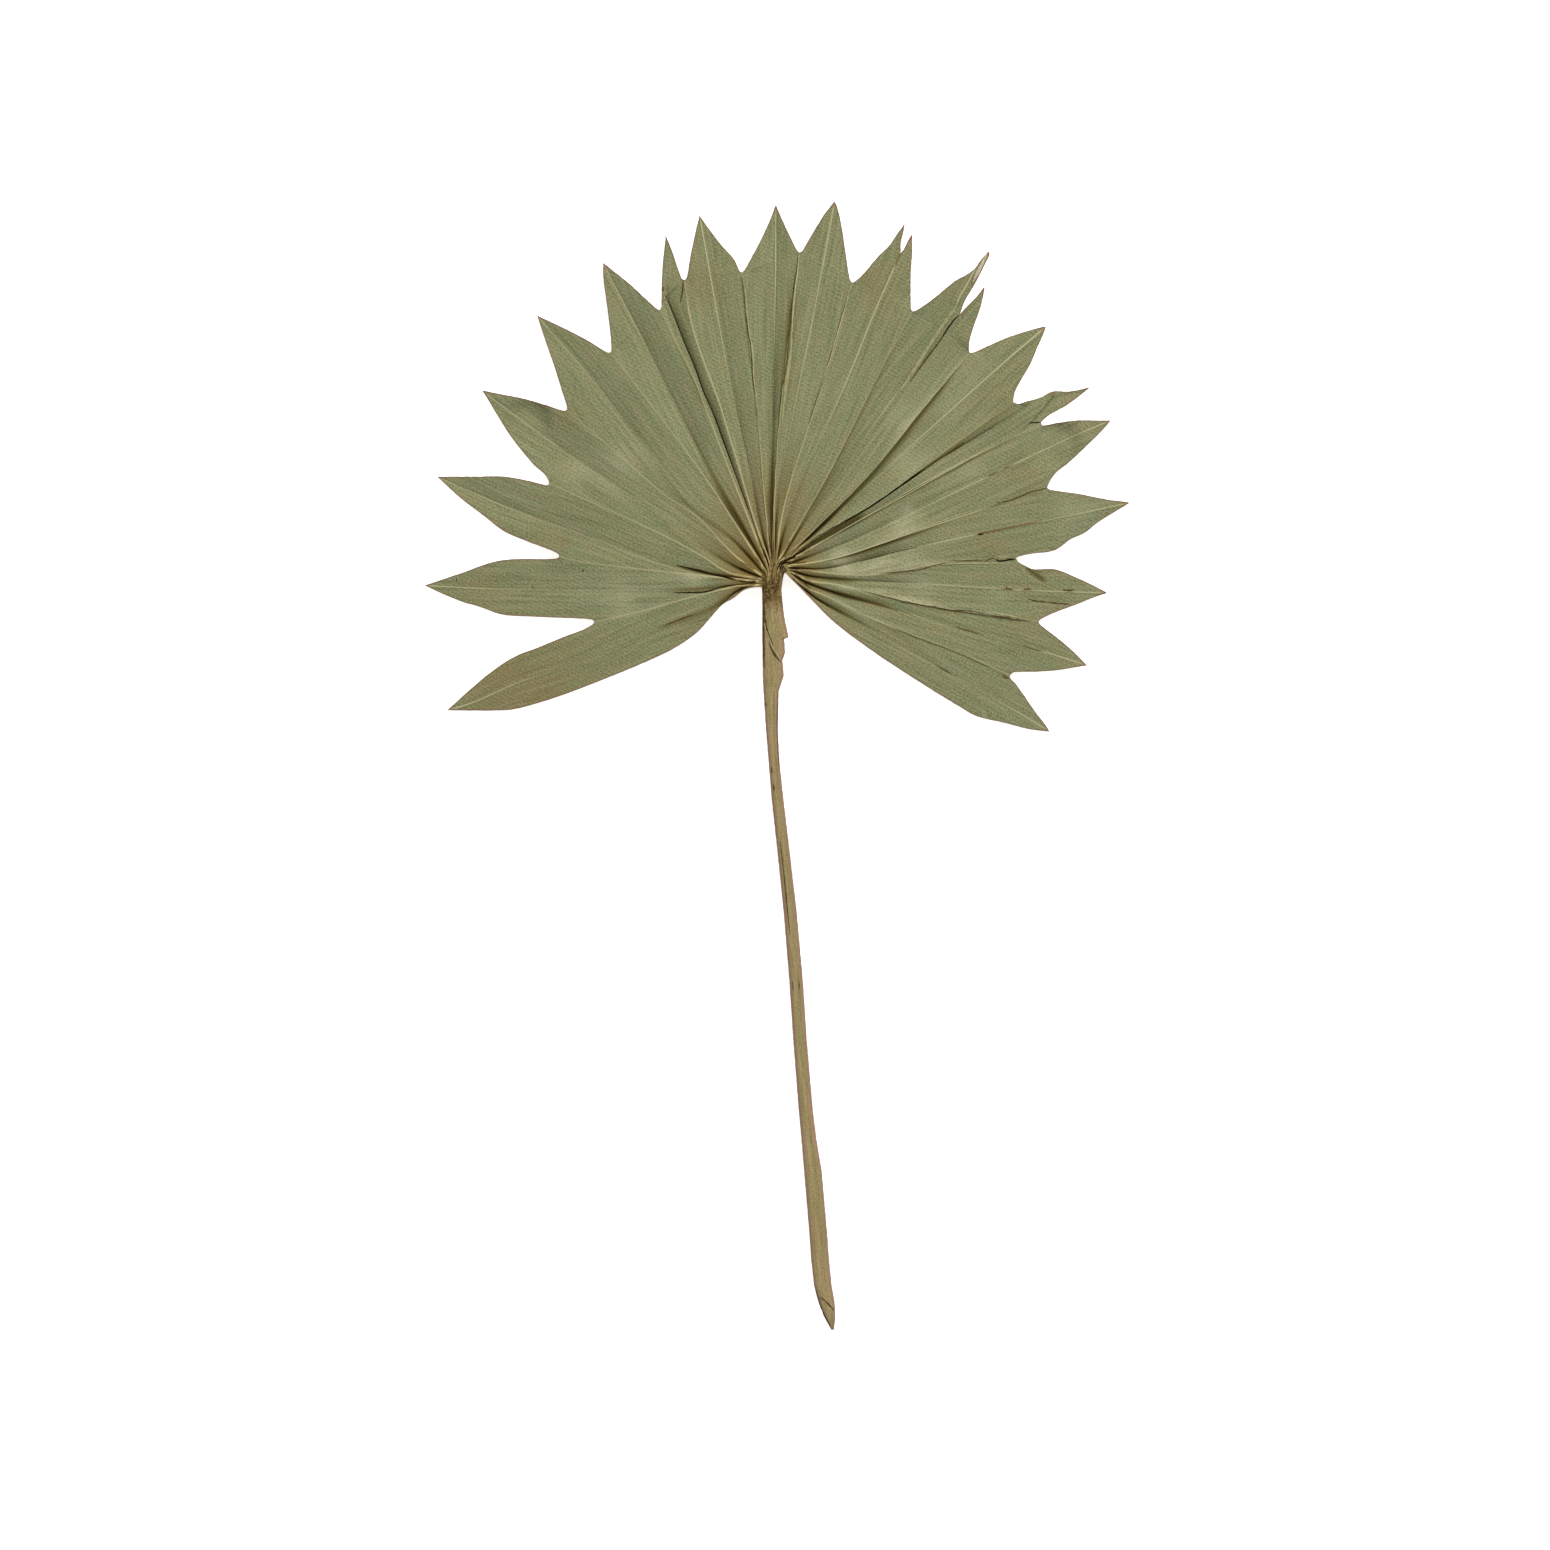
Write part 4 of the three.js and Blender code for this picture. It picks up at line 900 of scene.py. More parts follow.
# %% The strip's marks
STRIP_PATTERN = 980  # as a number of a segment, but further on than all of them
STRIP_SHADE = 0.65  # near the hub, where it lies deep between its neighbours
STRIP_SHADE_END, STRIP_SHADE_FADE = 49, 8
STRIP_STAIN = 0.7  # share of the stains that it shows, since its other side is up
strip_out = hub_distance(strip_xy)
none = np.zeros_like(strip_out)
add_grid(np.dstack([strip_xy, settle(strip_xy, strip_z)]), dict(
    across=strip_width[:, None] * strip_share[None], along=strip_out, number=none + STRIP_PATTERN,
    edge=none + FAR, ridge=none + FAR, rib=none + FAR,
    rib_tone=none, crack_tone=none, ridge_tone=none,
    fold=STRIP_SHADE * smooth((STRIP_SHADE_END - strip_out) / STRIP_SHADE_FADE),
    tip=distance(strip_xy, STRIP_UPPER[-1]), tan=STRIP_STAIN * stain_at(strip_xy)))
print("faces with the strip:", len(blade_faces))

# %% [markdown]
# ## From grid to leaf
#
# The sheet gets its thickness from the Solidify modifier, upwards from its underside, which is faster than
# building a second side and keeps every fold. It is applied at once, so that the rim can be marked sharp.

# %% The blade's mesh
BLADE_THICKNESS = 0.28


def new_mesh(name, points, faces, attributes=(), marks=()):
    """A mesh, with marks for each corner of its faces, three to an attribute."""
    mesh = bpy.data.meshes.new(name)
    mesh.from_pydata(points, [], faces)
    marks = np.asarray(marks, np.float32)
    for k, attribute_name in enumerate(attributes):
        attribute = mesh.attributes.new(attribute_name, "FLOAT_VECTOR", "CORNER")
        attribute.data.foreach_set("vector", marks[:, 3 * k:3 * k + 3].ravel())
    return mesh


def new_object(name, data):
    """An object in the scene for a mesh, a lamp or a camera."""
    made = bpy.data.objects.new(name, data)
    bpy.context.scene.collection.objects.link(made)
    return made


def new_piece(name, mesh, sharp_degrees):
    """An object for a mesh, smooth apart from its sharp corners."""
    mesh.shade_smooth()
    mesh.set_sharp_from_angle(angle=math.radians(sharp_degrees))
    return new_object(name, mesh)


sheet = new_object("blade_sheet", new_mesh("blade_sheet", blade_points, blade_faces, MARKS, blade_marks))
solidify = sheet.modifiers.new("thickness", "SOLIDIFY")
solidify.thickness = BLADE_THICKNESS * MM
solidify.offset = 1
shaped = sheet.evaluated_get(bpy.context.evaluated_depsgraph_get())
blade = new_piece("blade", bpy.data.meshes.new_from_object(shaped), 55)
bpy.data.objects.remove(sheet)
print("blade:", len(blade.data.polygons), "faces,", len(blade.data.attributes), "attributes")

# %% [markdown]
# ## The stalk
#
# A leaf stalk is a bundle of fibres in a thin skin: flat below, round at its flanks, with a shallow channel
# and fine grooves along the top. It is lofted from rings of one cross-section, close enough together to take
# the flakes of its torn right edge, the grooves, and the long oblique cut at its end.

# %% Stations of the stalk, as y, left edge, right edge, underside and thickness
STALK_STATIONS = [
    (72.8, -6.2, 1.7, 4.7, 5.5), (68.5, -5.9, 1.9, 4.6, 5.4), (59, -5.9, 3, 4.4, 5.3),
    (53.5, -5.9, 4.2, 4.2, 5.2), (51.2, -5.9, 4.7, 4.1, 5.1), (50.4, -5.9, 2.9, 4.1, 5.1),
    (45, -5.8, 3.3, 3.9, 5), (42, -5.8, 2.2, 3.8, 4.9), (36, -5.7, 2.8, 3.6, 4.7),
    (29.5, -5.4, 0.7, 3.4, 4.5), (14, -4.4, 0.4, 2.9, 4.1), (2, -3.4, 1, 2.5, 3.9),
    (-14, -2.1, 2.7, 2, 3.8), (-34, 0.1, 5.1, 1.4, 3.9), (-58, 2.6, 7.9, 0.9, 4),
    (-86, 4.9, 10.4, 0.4, 4), (-110, 6.5, 12, 0.1, 4), (-138, 8.7, 14.4, 0, 4.1),
    (-150, 9.8, 15.9, 0, 4.3), (-162, 10.8, 17.9, 0, 4.6), (-188, 13, 20.2, 0, 4.7),
    (-197, 13.6, 20.8, 0, 4.7), (-208, 14.8, 21.9, 0, 4.7), (-214.5, 16.8, 23.1, 0, 4.7),
    (-221, 19.2, 23.4, 0, 4.6), (-225.5, 21.6, 22.8, 0, 4.4),
]
HEAD_RADIUS = 4.4
HEAD_UNDERSIDE, HEAD_THICKNESS = 4.8, 5.3
HEAD_RINGS, HEAD_TURN = 16, 88  # from its round end, not quite at a right angle, to its widest place
STALK_SECTION = [  # across from -1 to 1, and up as a share of the thickness
    (-0.32, 0), (0.32, 0), (0.74, 0.13), (1, 0.48), (0.87, 0.82), (0.52, 0.98), (0.18, 0.93),
    (-0.14, 1), (-0.52, 0.96), (-0.88, 0.8), (-1, 0.46), (-0.74, 0.12), (-0.32, 0),
]
EVEN_RINGS = np.arange(-225, 72, 0.9)  # between the stations, close enough for the grooves
SECTION_POINTS = 44

head_rings = []
for degrees in np.linspace(HEAD_TURN, 0, HEAD_RINGS):
    half_width = HEAD_RADIUS * math.cos(math.radians(degrees))
    y = HUB[1] + HEAD_RADIUS * math.sin(math.radians(degrees))
    head_rings.append((y, HUB[0] - half_width, HUB[0] + half_width, HEAD_UNDERSIDE, HEAD_THICKNESS))
stations = np.array(head_rings + STALK_STATIONS)[::-1]
ring_ys = np.unique(np.concatenate([stations[:, 0], EVEN_RINGS]))[::-1]


def stalk_at(y):
    """Left edge, right edge, underside and thickness of the stalk."""
    return [np.interp(y, stations[:, 0], stations[:, k]) for k in range(1, 5)]


rings = np.column_stack([ring_ys, *stalk_at(ring_ys)])
section = run_of(STALK_SECTION, np.linspace(0, 1, SECTION_POINTS, endpoint=False))
print("rings:", len(rings))

# %% The stalk's skin
GROOVE_DEPTH, GROOVE_WIDTH, GROOVE_LENGTH = 0.2, 0.75, 45
FIBRE_RELIEF, FIBRE_WIDTH, FIBRE_LENGTH = 0.05, 0.3, 9
HEAD_BUMP, HEAD_BUMP_WIDTH, HEAD_BUMP_LENGTH = 0.32, 1.05, 1.7 * 1.05
STALK_RAG, STALK_RAG_LENGTH = 0.16, 1.7
HEAD_START, HEAD_GROWTH = 60, 12  # places along Y, where grooves give way to bumps
TOP_START, TOP_BLEND = 0.55, 0.3  # shares of the thickness, above which the relief begins


def stalk_point(y, left, right, under, thickness, across, up):
    """A point of the stalk's skin, with its grooves, and rough where the fibres of the head are."""
    half = (right - left) / 2
    x = (left + right) / 2 + across * half
    flank = abs(across) ** 3
    x += STALK_RAG * flank * rough(math.copysign(9, across), y / STALK_RAG_LENGTH, 2)
    groove = GROOVE_DEPTH * rough(across * half / GROOVE_WIDTH, y / GROOVE_LENGTH, 1)
    fibre = FIBRE_RELIEF * rough(across * half / FIBRE_WIDTH, y / FIBRE_LENGTH, 4)
    bump = HEAD_BUMP * rough(x / HEAD_BUMP_WIDTH, y / HEAD_BUMP_LENGTH, 8)
    head = smooth((y - HEAD_START) / HEAD_GROWTH)
    lift = (groove + fibre) * (1 - head) + bump * head
    return x, y, max(0, under + up * thickness + lift * smooth((up - TOP_START) / TOP_BLEND))


def stalk_top(x, y):
    """Height of the stalk's upper side, without its relief."""
    left, right, under, thickness = stalk_at(y)
    upper_side = sorted((a, u) for a, u in section if u > 0.5)
    across = (x - (left + right) / 2) / ((right - left) / 2)
    return under + thickness * float(np.interp(across, *zip(*upper_side)))


print("stalk in the middle:", round(stalk_top(3.8, -50), 1), "mm high")

# %% Loft the stalk
stalk_points, stalk_marks = [], []
for ring in rings:
    for across, up in section:
        point = stalk_point(*ring, across, up)
        stalk_points.append([v * MM for v in point])
        half = (ring[2] - ring[1]) / 2
        stalk_marks.append((across * half, ring[0], (1 - abs(across)) * half))
stalk_faces = []
for r in range(len(rings) - 1):
    for k in range(SECTION_POINTS):
        a, b = r * SECTION_POINTS + k, r * SECTION_POINTS + (k + 1) % SECTION_POINTS
        stalk_faces.append([b, a, a + SECTION_POINTS, b + SECTION_POINTS])
stalk_faces.append(list(range(SECTION_POINTS)))
stalk_faces.append(list(range((len(rings) - 1) * SECTION_POINTS, len(rings) * SECTION_POINTS))[::-1])
corner_marks = [stalk_marks[point] for face in stalk_faces for point in face]
stalk = new_piece("stalk", new_mesh("stalk", stalk_points, stalk_faces, ["stalk_place"], corner_marks), 60)
print("stalk:", len(stalk.data.polygons), "faces")

# %% [markdown]
# ## The skin of the hub
#
# Where the pleats meet, their veins turn down and gather into the stalk under a thin, wrinkled brown skin.
# It could be sculpted, but every wrinkle continues a pleat. So it is laid out from the pleats' own lines:
# each one starts a little way up its crest or groove, bends over the stalk's head and sinks into the stalk.

# %% Paths from the pleats into the stalk
GATHER_LEFT, GATHER_RIGHT = -5.5, 1.6  # between these places along X the paths end on the stalk
BEND_ACROSS, BEND_DOWN, BEND_RISE = 0.75, 0.55, 1.5  # shares of the way to its end, then mm further up
SINK_START, SINK_LENGTH = 0.12, 0.3  # shares of a path, where it leaves the pleat's height
HEAD_END = 2.5  # mm above the hub's place; the stalk's height is read no further up

pleat_lines = [segments[0]["left_line"]]
pleat_heights = [segments[0]["left_z"]]
for s in segments:
    pleat_lines += [s["mid_left"], s["right_line"]]
    pleat_heights += [s["mid_z"], s["right_z"]]


def gathered_path(line, overlap, end, steps):
    """A path from a pleat's line, or from between two, into the stalk, as x, y and z."""
    low = min(int(line), LAST_LINE - 1)
    share = line - low
    starts = []
    for k in (low, low + 1):
        from_start = np.linalg.norm(pleat_lines[k] - pleat_lines[k][0], axis=1)
        starts.append([np.interp(overlap, from_start[:INNER_ROWS], values[:INNER_ROWS])
                       for values in (*pleat_lines[k].T, pleat_heights[k])])
    start = np.array(starts[0]) * (1 - share) + np.array(starts[1]) * share
    rim = np.array(hub_start(line))
    bottom = np.array([GATHER_LEFT + (GATHER_RIGHT - GATHER_LEFT) * line / LAST_LINE, end])
    bend = np.array([BEND_ACROSS * bottom[0] + (1 - BEND_ACROSS) * rim[0],
                     (1 - BEND_DOWN) * rim[1] + BEND_DOWN * bottom[1] + BEND_RISE])
    xy = run_of([start[:2], rim, bend, bottom], np.linspace(0, 1, steps))
    above = start[2] - BLADE_BOTTOM + BLADE_THICKNESS
    heights = []
    for k, (x, y) in enumerate(xy):
        down = smooth((k / (steps - 1) - SINK_START) / SINK_LENGTH)
        heights.append(above * (1 - down) + stalk_top(x, min(y, HUB[1] + HEAD_END)) * down)
    return np.column_stack([xy, heights])


print("lines that meet at the hub:", len(pleat_lines))

# %% The hub's skin
SKIN_LINES, SKIN_STEPS = 156, 26  # across all the pleats, and along each path
SKIN_OVERLAP, SKIN_END = 2.4, 65.5  # mm up the pleats, and its lower rim along Y
RAGGED_OVERLAP, RAGGED_END = (0.7, 0.5), 3
SKIN_LIFT = 0.2
SKIN_FOLD, FOLD_LOSS = 0.3, 0.6  # height of its folds, and the share that is lost on the way down
SKIN_BUMP, SKIN_BUMP_WIDTH, SKIN_BUMP_LENGTH = 0.28, 0.9, 1.6 * 0.9
SKIN_DEPTH = 0.35  # the skin is drawn this far into what lies under it at its rims
END_RIM, SIDE_RIM = 0.14, 1 / 20  # shares of its length and width

skin_points, skin_marks = [], []
for n in range(SKIN_LINES + 1):
    line = LAST_LINE * n / SKIN_LINES
    wander = rough(line * 0.9, 3, 1)
    overlap = SKIN_OVERLAP * (RAGGED_OVERLAP[0] + RAGGED_OVERLAP[1] * wander)
    path = gathered_path(line, overlap, SKIN_END - RAGGED_END * wander, SKIN_STEPS)
    crest = math.cos(math.pi * line)  # 1 on a ridge, -1 in a groove
    from_side = min(n, SKIN_LINES - n) / SKIN_LINES
    for k, (x, y, z) in enumerate(path):
        f = k / (SKIN_STEPS - 1)
        rim = 1 - min(1, f / END_RIM, (1 - f) / END_RIM, from_side / SIDE_RIM)
        fold = SKIN_FOLD * crest * (1 - FOLD_LOSS * f)
        bump = SKIN_BUMP * rough(x / SKIN_BUMP_WIDTH, y / SKIN_BUMP_LENGTH, 6)
        skin_points.append([v * MM for v in (x, y, z + SKIN_LIFT + fold + bump - SKIN_DEPTH * rim)])
        skin_marks.append((line, LAST_LINE * f, crest))
skin_faces = []
for n in range(SKIN_LINES):
    for k in range(SKIN_STEPS - 1):
        a = n * SKIN_STEPS + k
        skin_faces.append([a, a + 1, a + SKIN_STEPS + 1, a + SKIN_STEPS])
corner_marks = [skin_marks[point] for face in skin_faces for point in face]
skin_mesh = new_mesh("hub_skin", skin_points, skin_faces, ["skin_place"], corner_marks)
hub_skin = new_piece("hub_skin", skin_mesh, 75)
print("hub skin:", len(skin_faces), "faces")

# %% [markdown]
# ## Loose fibres
#
# On top of the skin lie fibres that have come loose, from tan to dark brown. They are tapered tubes that
# follow the same paths: a bump pattern alone stays flat from the side.

# %% Tapered tubes along a path
TUBE_SIDES = 6


def add_tube(points, faces, path, radii, sides=TUBE_SIDES, height=1):
    """Adds a closed tapered tube to lists of points and faces. Its height is a share of its width."""
    path = np.asarray(path, float)
    first = len(points)
    for centre, along, radius in zip(path, np.gradient(path, axis=0), radii):
        along = Vector(along).normalized()
        side = along.cross(Vector((0, 0, 1))).normalized()
        up = side.cross(along)
        for k in range(sides):
            turn = 2 * math.pi * k / sides
            offset = (side * math.cos(turn) + up * math.sin(turn) * height) * radius
            points.append([v * MM for v in Vector(centre) + offset])
    for r in range(len(path) - 1):
        for k in range(sides):
            a, b = first + r * sides + k, first + r * sides + (k + 1) % sides
            faces.append([a, b, b + sides, a + sides])
    last = first + (len(path) - 1) * sides
    faces.append([first + k for k in range(sides)][::-1])
    faces.append([last + k for k in range(sides)])


print("tubes have", TUBE_SIDES, "sides, unless a piece asks for more")

# %% Fibres over the hub
FIBRE_RADIUS, UNEVEN_RADIUS = 0.14, (0.9, 0.6)
FIBRE_TAPER = [(0, 0.3), (4, 1), (11, 0.8), (15, 0.2)]  # point along the fibre and share of its radius
FIBRE_COUNT, FIBRE_STEPS = 140, 16
FIBRE_SPREAD = 0.618  # the golden section never falls on the same line twice running
FIRST_LINE, FINAL_LINE = 2, 36  # none on the outermost pleats
FIBRE_START, FIBRE_END = (9, 8), (68.5, 5)  # mm up the pleat, and place along Y: middle and spread
FIBRE_SWAY = 0.25
FIBRE_LIFT, UNEVEN_LIFT, FIBRE_SINK = 0.3, 0.2, 0.5  # above its path, and down into the stalk at its end

fibre_points, fibre_faces, fibre_shades = [], [], []
for n in range(FIBRE_COUNT):
    wander = [rough(n * 1.7, k, 0.5) for k in range(5)]
    line = 2 * round(len(segments) * ((n * FIBRE_SPREAD) % 1)) + 0.5 * wander[0]
    line = min(max(line, FIRST_LINE), FINAL_LINE)
    path = gathered_path(line, FIBRE_START[0] + FIBRE_START[1] * wander[1],
                         FIBRE_END[0] + FIBRE_END[1] * wander[2], FIBRE_STEPS)
    path[:, 0] += FIBRE_SWAY * wander[3] * np.sin(np.linspace(0, 3, FIBRE_STEPS))
    path[:, 2] += FIBRE_LIFT + UNEVEN_LIFT * wander[4] - FIBRE_SINK * np.linspace(0, 1, FIBRE_STEPS)**4
    radius = FIBRE_RADIUS * (UNEVEN_RADIUS[0] + UNEVEN_RADIUS[1] * wander[4])
    radii = radius * np.interp(np.arange(FIBRE_STEPS), *zip(*FIBRE_TAPER))
    before = len(fibre_faces)
    add_tube(fibre_points, fibre_faces, path, radii)
    fibre_shades += [(0.5 + wander[2], n, 0)] * sum(len(f) for f in fibre_faces[before:])
fibre_mesh = new_mesh("hub_fibres", fibre_points, fibre_faces, ["fibre_shade"], fibre_shades)
hub_fibres = new_piece("hub_fibres", fibre_mesh, 70)
print("hub fibres:", FIBRE_COUNT, "of about", 2 * FIBRE_RADIUS, "mm")

# %% [markdown]
# ## Peeled skin and the rolled tip
#
# Two small things catch the eye: a curved line on the upper stalk where the skin has peeled back to a thin
# lip, and the left tip of segment 12, whose edge has rolled into a pale tube. Each is a tapered tube laid on
# what carries it.

# %% The peeled lip
PEEL_LINE = [(-5.8, 61.4), (-5.5, 58.2), (-4.6, 54.6), (-3.2, 51), (-1.8, 47.3), (-0.2, 44.8), (1.5, 42.1)]
PEEL_RADIUS, PEEL_HEIGHT, PEEL_LIFT = 0.28, 0.6, 0.12  # its height is a share of its width
PEEL_TAPER = [(0, 0.45), (12, 0.65), (19, 1.25), (23, 0.7)]  # point along it and share of its radius


def tube_piece(name, path, radius, taper, sides, height=1):
    """A piece of one tapered tube."""
    points, faces = [], []
    add_tube(points, faces, path, radius * np.interp(np.arange(len(path)), *zip(*taper)), sides, height)
    return new_piece(name, new_mesh(name, points, faces), 70)


peel = run_of(PEEL_LINE, np.linspace(0, 1, PEEL_TAPER[-1][0] + 1))
peel_path = [(x, y, stalk_top(x, y) + PEEL_LIFT) for x, y in peel]
peeled_lip = tube_piece("peeled_lip", peel_path, PEEL_RADIUS, PEEL_TAPER, 8, PEEL_HEIGHT)
print("peeled lip:", round(math.dist(PEEL_LINE[0], PEEL_LINE[-1])), "mm long")

# %% The rolled tip
ROLL_LINE = [(78.2, 193), (80.4, 197.4), (82.4, 201.4), (84.3, 205.3)]
ROLL_RADIUS = 0.75
ROLL_TAPER = [(0, 0.35), (5, 1), (12, 0.9), (19, 0.25)]
twelve = segments[11]
roll = run_of(ROLL_LINE, np.linspace(0, 1, ROLL_TAPER[-1][0] + 1))
roll_z = level_of(roll, twelve["reach"], twelve["lift"]) - BLADE_BOTTOM + BLADE_THICKNESS
rolled_tip = tube_piece("rolled_tip", np.column_stack([roll, roll_z]), ROLL_RADIUS, ROLL_TAPER, 12)
print("rolled tip:", round(math.dist(ROLL_LINE[0], ROLL_LINE[-1])), "mm long")

# %% [markdown]
# ## Grooves, cracks and curled edges
#
# Near the hub the pleats close to deep grooves, and further out some lap over the next. The shade in them
# is painted: a near black thread in a groove, an olive one under a lapped edge. Where a dry leaf splits, the
# split is a brown ragged line a fraction of a millimetre wide. Beside some of them the torn edge has curled
# up into a thread, and two long edges have rolled up; these are paler, which is painted light. Cut into the
# sheet all these would need very small faces, so each is a flat tapered thread on the sheet, which keeps
# its ragged outline from every side.

# %% Where painted shade runs: in deep grooves, and under edges that lap over the next
# painted shade: a near black thread in each deep groove and dark gap
GROOVE_SHADE_LINES = [  # width and the places that a deep dark line runs through
    (0.35, [(-11.6, 71.6), (-15.6, 69.8), (-20, 66.2), (-23.6, 63.4)]),
    (0.5, [(-41.6, 69), (-34.8, 69.1), (-28.4, 69.4), (-24.8, 70.4), (-20.8, 71.6), (-16, 72.1)]),
    (0.7, [(-40, 80), (-36.8, 79.2), (-30.8, 77.8), (-24.8, 76), (-20.8, 75.2), (-16.8, 74.2),
           (-12.8, 73.4), (-8, 73.2)]),
    (0.7, [(-44.9, 188.6), (-43.2, 184.6), (-40.4, 177.4), (-36.8, 168.2), (-33.2, 159.8),
           (-29.2, 148.6), (-25.9, 141.4), (-20.8, 127.4), (-15.8, 113.9), (-11.5, 102)]),
    (0.6, [(72.8, 180), (71.2, 178.6), (68.2, 174.6), (65.4, 170.2)]),
    (0.95, [(27, 97.2), (31, 99.7), (37.2, 103.3), (45.2, 108.8), (51.6, 113.2), (58.8, 118.2),
            (65, 122.4)]),
    (1.9, [(0, 79.7), (2.4, 80.9), (4.6, 82), (7.4, 83.5)]),
    (0.7, [(5.2, 82.4), (8, 84.2), (11.6, 86.8)]),
    (0.7, [(-5.4, 86.4), (-4.4, 84), (-3.7, 81.6), (-3.1, 79.8)]),
    (0.9, [(-15, 78.8), (-13, 78), (-9.4, 76.4), (-5.8, 75)]),
    (0.7, [(3.8, 78.8), (7, 78.6), (9.2, 78.5), (14, 78.4)]),
    (0.8, [(5, 78), (8.6, 76.9), (12.6, 75.7), (17, 75.3)]),
    (0.9, [(5.6, 76.8), (8.6, 75), (13.5, 72.3), (19.4, 70.2), (25, 68.4)]),
    (0.7, [(6, 74.8), (10.4, 70.9), (15, 67), (21, 63.4)]),
    (0.5, [(100.6, 136.9), (105.2, 137.2)]),
    (0.7, [(95.4, 82.4), (93.2, 82.4), (90.4, 81.8), (88.4, 81.8), (87.2, 82.6)]),
    (0.6, [(82.4, 92.5), (80.2, 92.2)]),
    (0.6, [(-77.8, 78.1), (-77.3, 77.5)]),
    (0.5, [(-97.8, 71.6), (-97.4, 71.1)]),
    (0.5, [(-128.3, 74.4), (-127.9, 73.9)]),
]
# painted shadow: an olive thread under each edge that lies over the next
LAP_SHADOW_LINES = [  # the same, for olive lines where one segment lies over the next
    (1.1, [(13, 88.9), (18, 91.6), (24, 95), (30, 98.8), (36, 102.6)]),
    (0.6, [(69, 175.8), (64.6, 169), (60.6, 163.8), (56, 157.4), (52.8, 153)]),
    (1.1, [(56, 116.3), (61, 119.8), (66, 123.2), (71, 126.6), (75, 129.2)]),
    (0.35, [(-14.4, 195.4), (-13.6, 192.2), (-13.1, 188.2), (-12.8, 184.2), (-12.4, 180.2),
            (-11.9, 176.2), (-11.6, 173), (-10.8, 169), (-10.4, 165.4), (-10, 161), (-9.8, 156.2),
            (-9.5, 152.2), (-8.8, 148.2), (-8.4, 144.2), (-7.8, 139)]),
    (0.4, [(8.4, 205.4), (8.2, 201.4), (7.7, 197.4), (6.8, 192.2), (6.4, 187.4), (5.8, 182.2),
            (5.4, 176.2), (4.8, 172.2), (4.4, 167), (4, 162.2), (3.2, 157.4), (2.8, 154.2), (2, 151),
            (1.4, 146.2), (1, 142.2), (0.4, 138.2)]),
    (0.6, [(-37.4, 194), (-37.8, 189.4), (-38.6, 185)]),
]
print("grooves:", len(GROOVE_SHADE_LINES), "and fold lines:", len(LAP_SHADOW_LINES))

# %% Where the blade has cracked
CRACKS = [  # the same, for brown cracks
    (0.3, [(-45.2, 55.8), (-40.8, 57.6), (-37.2, 59), (-33.6, 60.2)]),
    (0.25, [(18.4, 154.2), (16.4, 148.2), (14.4, 142.2), (12.4, 135.8)]),
    (0.25, [(29.8, 190.6), (28.4, 187.4), (26.4, 181.4), (23.6, 171.8), (20.8, 162.2), (18.8, 155.4)]),
    (0.3, [(92.8, 119.4), (90.4, 118.7)]),
    (0.3, [(88, 117.4), (84.4, 115.6)]),
    (0.4, [(108, 111), (104.4, 110), (101.2, 109.4), (97.2, 107.6), (92.4, 105.8), (87.6, 105)]),
    (0.3, [(33.2, 81.4), (41.2, 83.6), (49.2, 85.8), (54, 86.8), (56.4, 87.4)]),
    (0.35, [(87.2, 82.6), (85.6, 82.8), (84.4, 82.2), (82.8, 81.4)]),
    (0.3, [(82.8, 81.8), (78, 81.9), (73.2, 81.8), (68.4, 81.7)]),
    (0.35, [(67.2, 81), (61.2, 79.4), (57.2, 78.2), (49.2, 77.4), (41.2, 76.7)]),
    (0.4, [(91.4, 70.8), (94, 70.4)]),
    (0.3, [(91.4, 70.8), (92, 72)]),
    (0.45, [(98.6, 70.3), (100.4, 70.6), (101.6, 70.4)]),
    (0.5, [(114, 70.2), (116.4, 70.1), (119.2, 70.2)]),
    (0.45, [(100, 66.6), (103.2, 65.8), (108.4, 65.2)]),
    (0.55, [(108, 65.3), (112.4, 64.8), (117.2, 64.5)]),
    (0.3, [(49.2, 65.2), (57.2, 64.2), (61.2, 63.6), (64, 63.5)]),
    (0.35, [(64, 63.5), (65.6, 62.6), (71.2, 62), (76.4, 61.8), (79.2, 61.4), (85.2, 60.2)]),
    (0.45, [(85.2, 60.2), (89.2, 59.4), (92.4, 59.2), (94.4, 58.4), (96.4, 58.6), (97.6, 57.8)]),
    (0.25, [(71.2, 55.4), (75.6, 54.2), (80.4, 52.6)]),
    (0.3, [(98, 48), (103.2, 46.2), (106, 45.8)]),
    (0.3, [(64.8, 39), (69.2, 37)]),
    (0.6, [(90, 35.6), (92.4, 34.6)]),
    (0.6, [(-45.6, 191.3), (-45.5, 189.6)]),
]
print("cracks:", len(CRACKS))

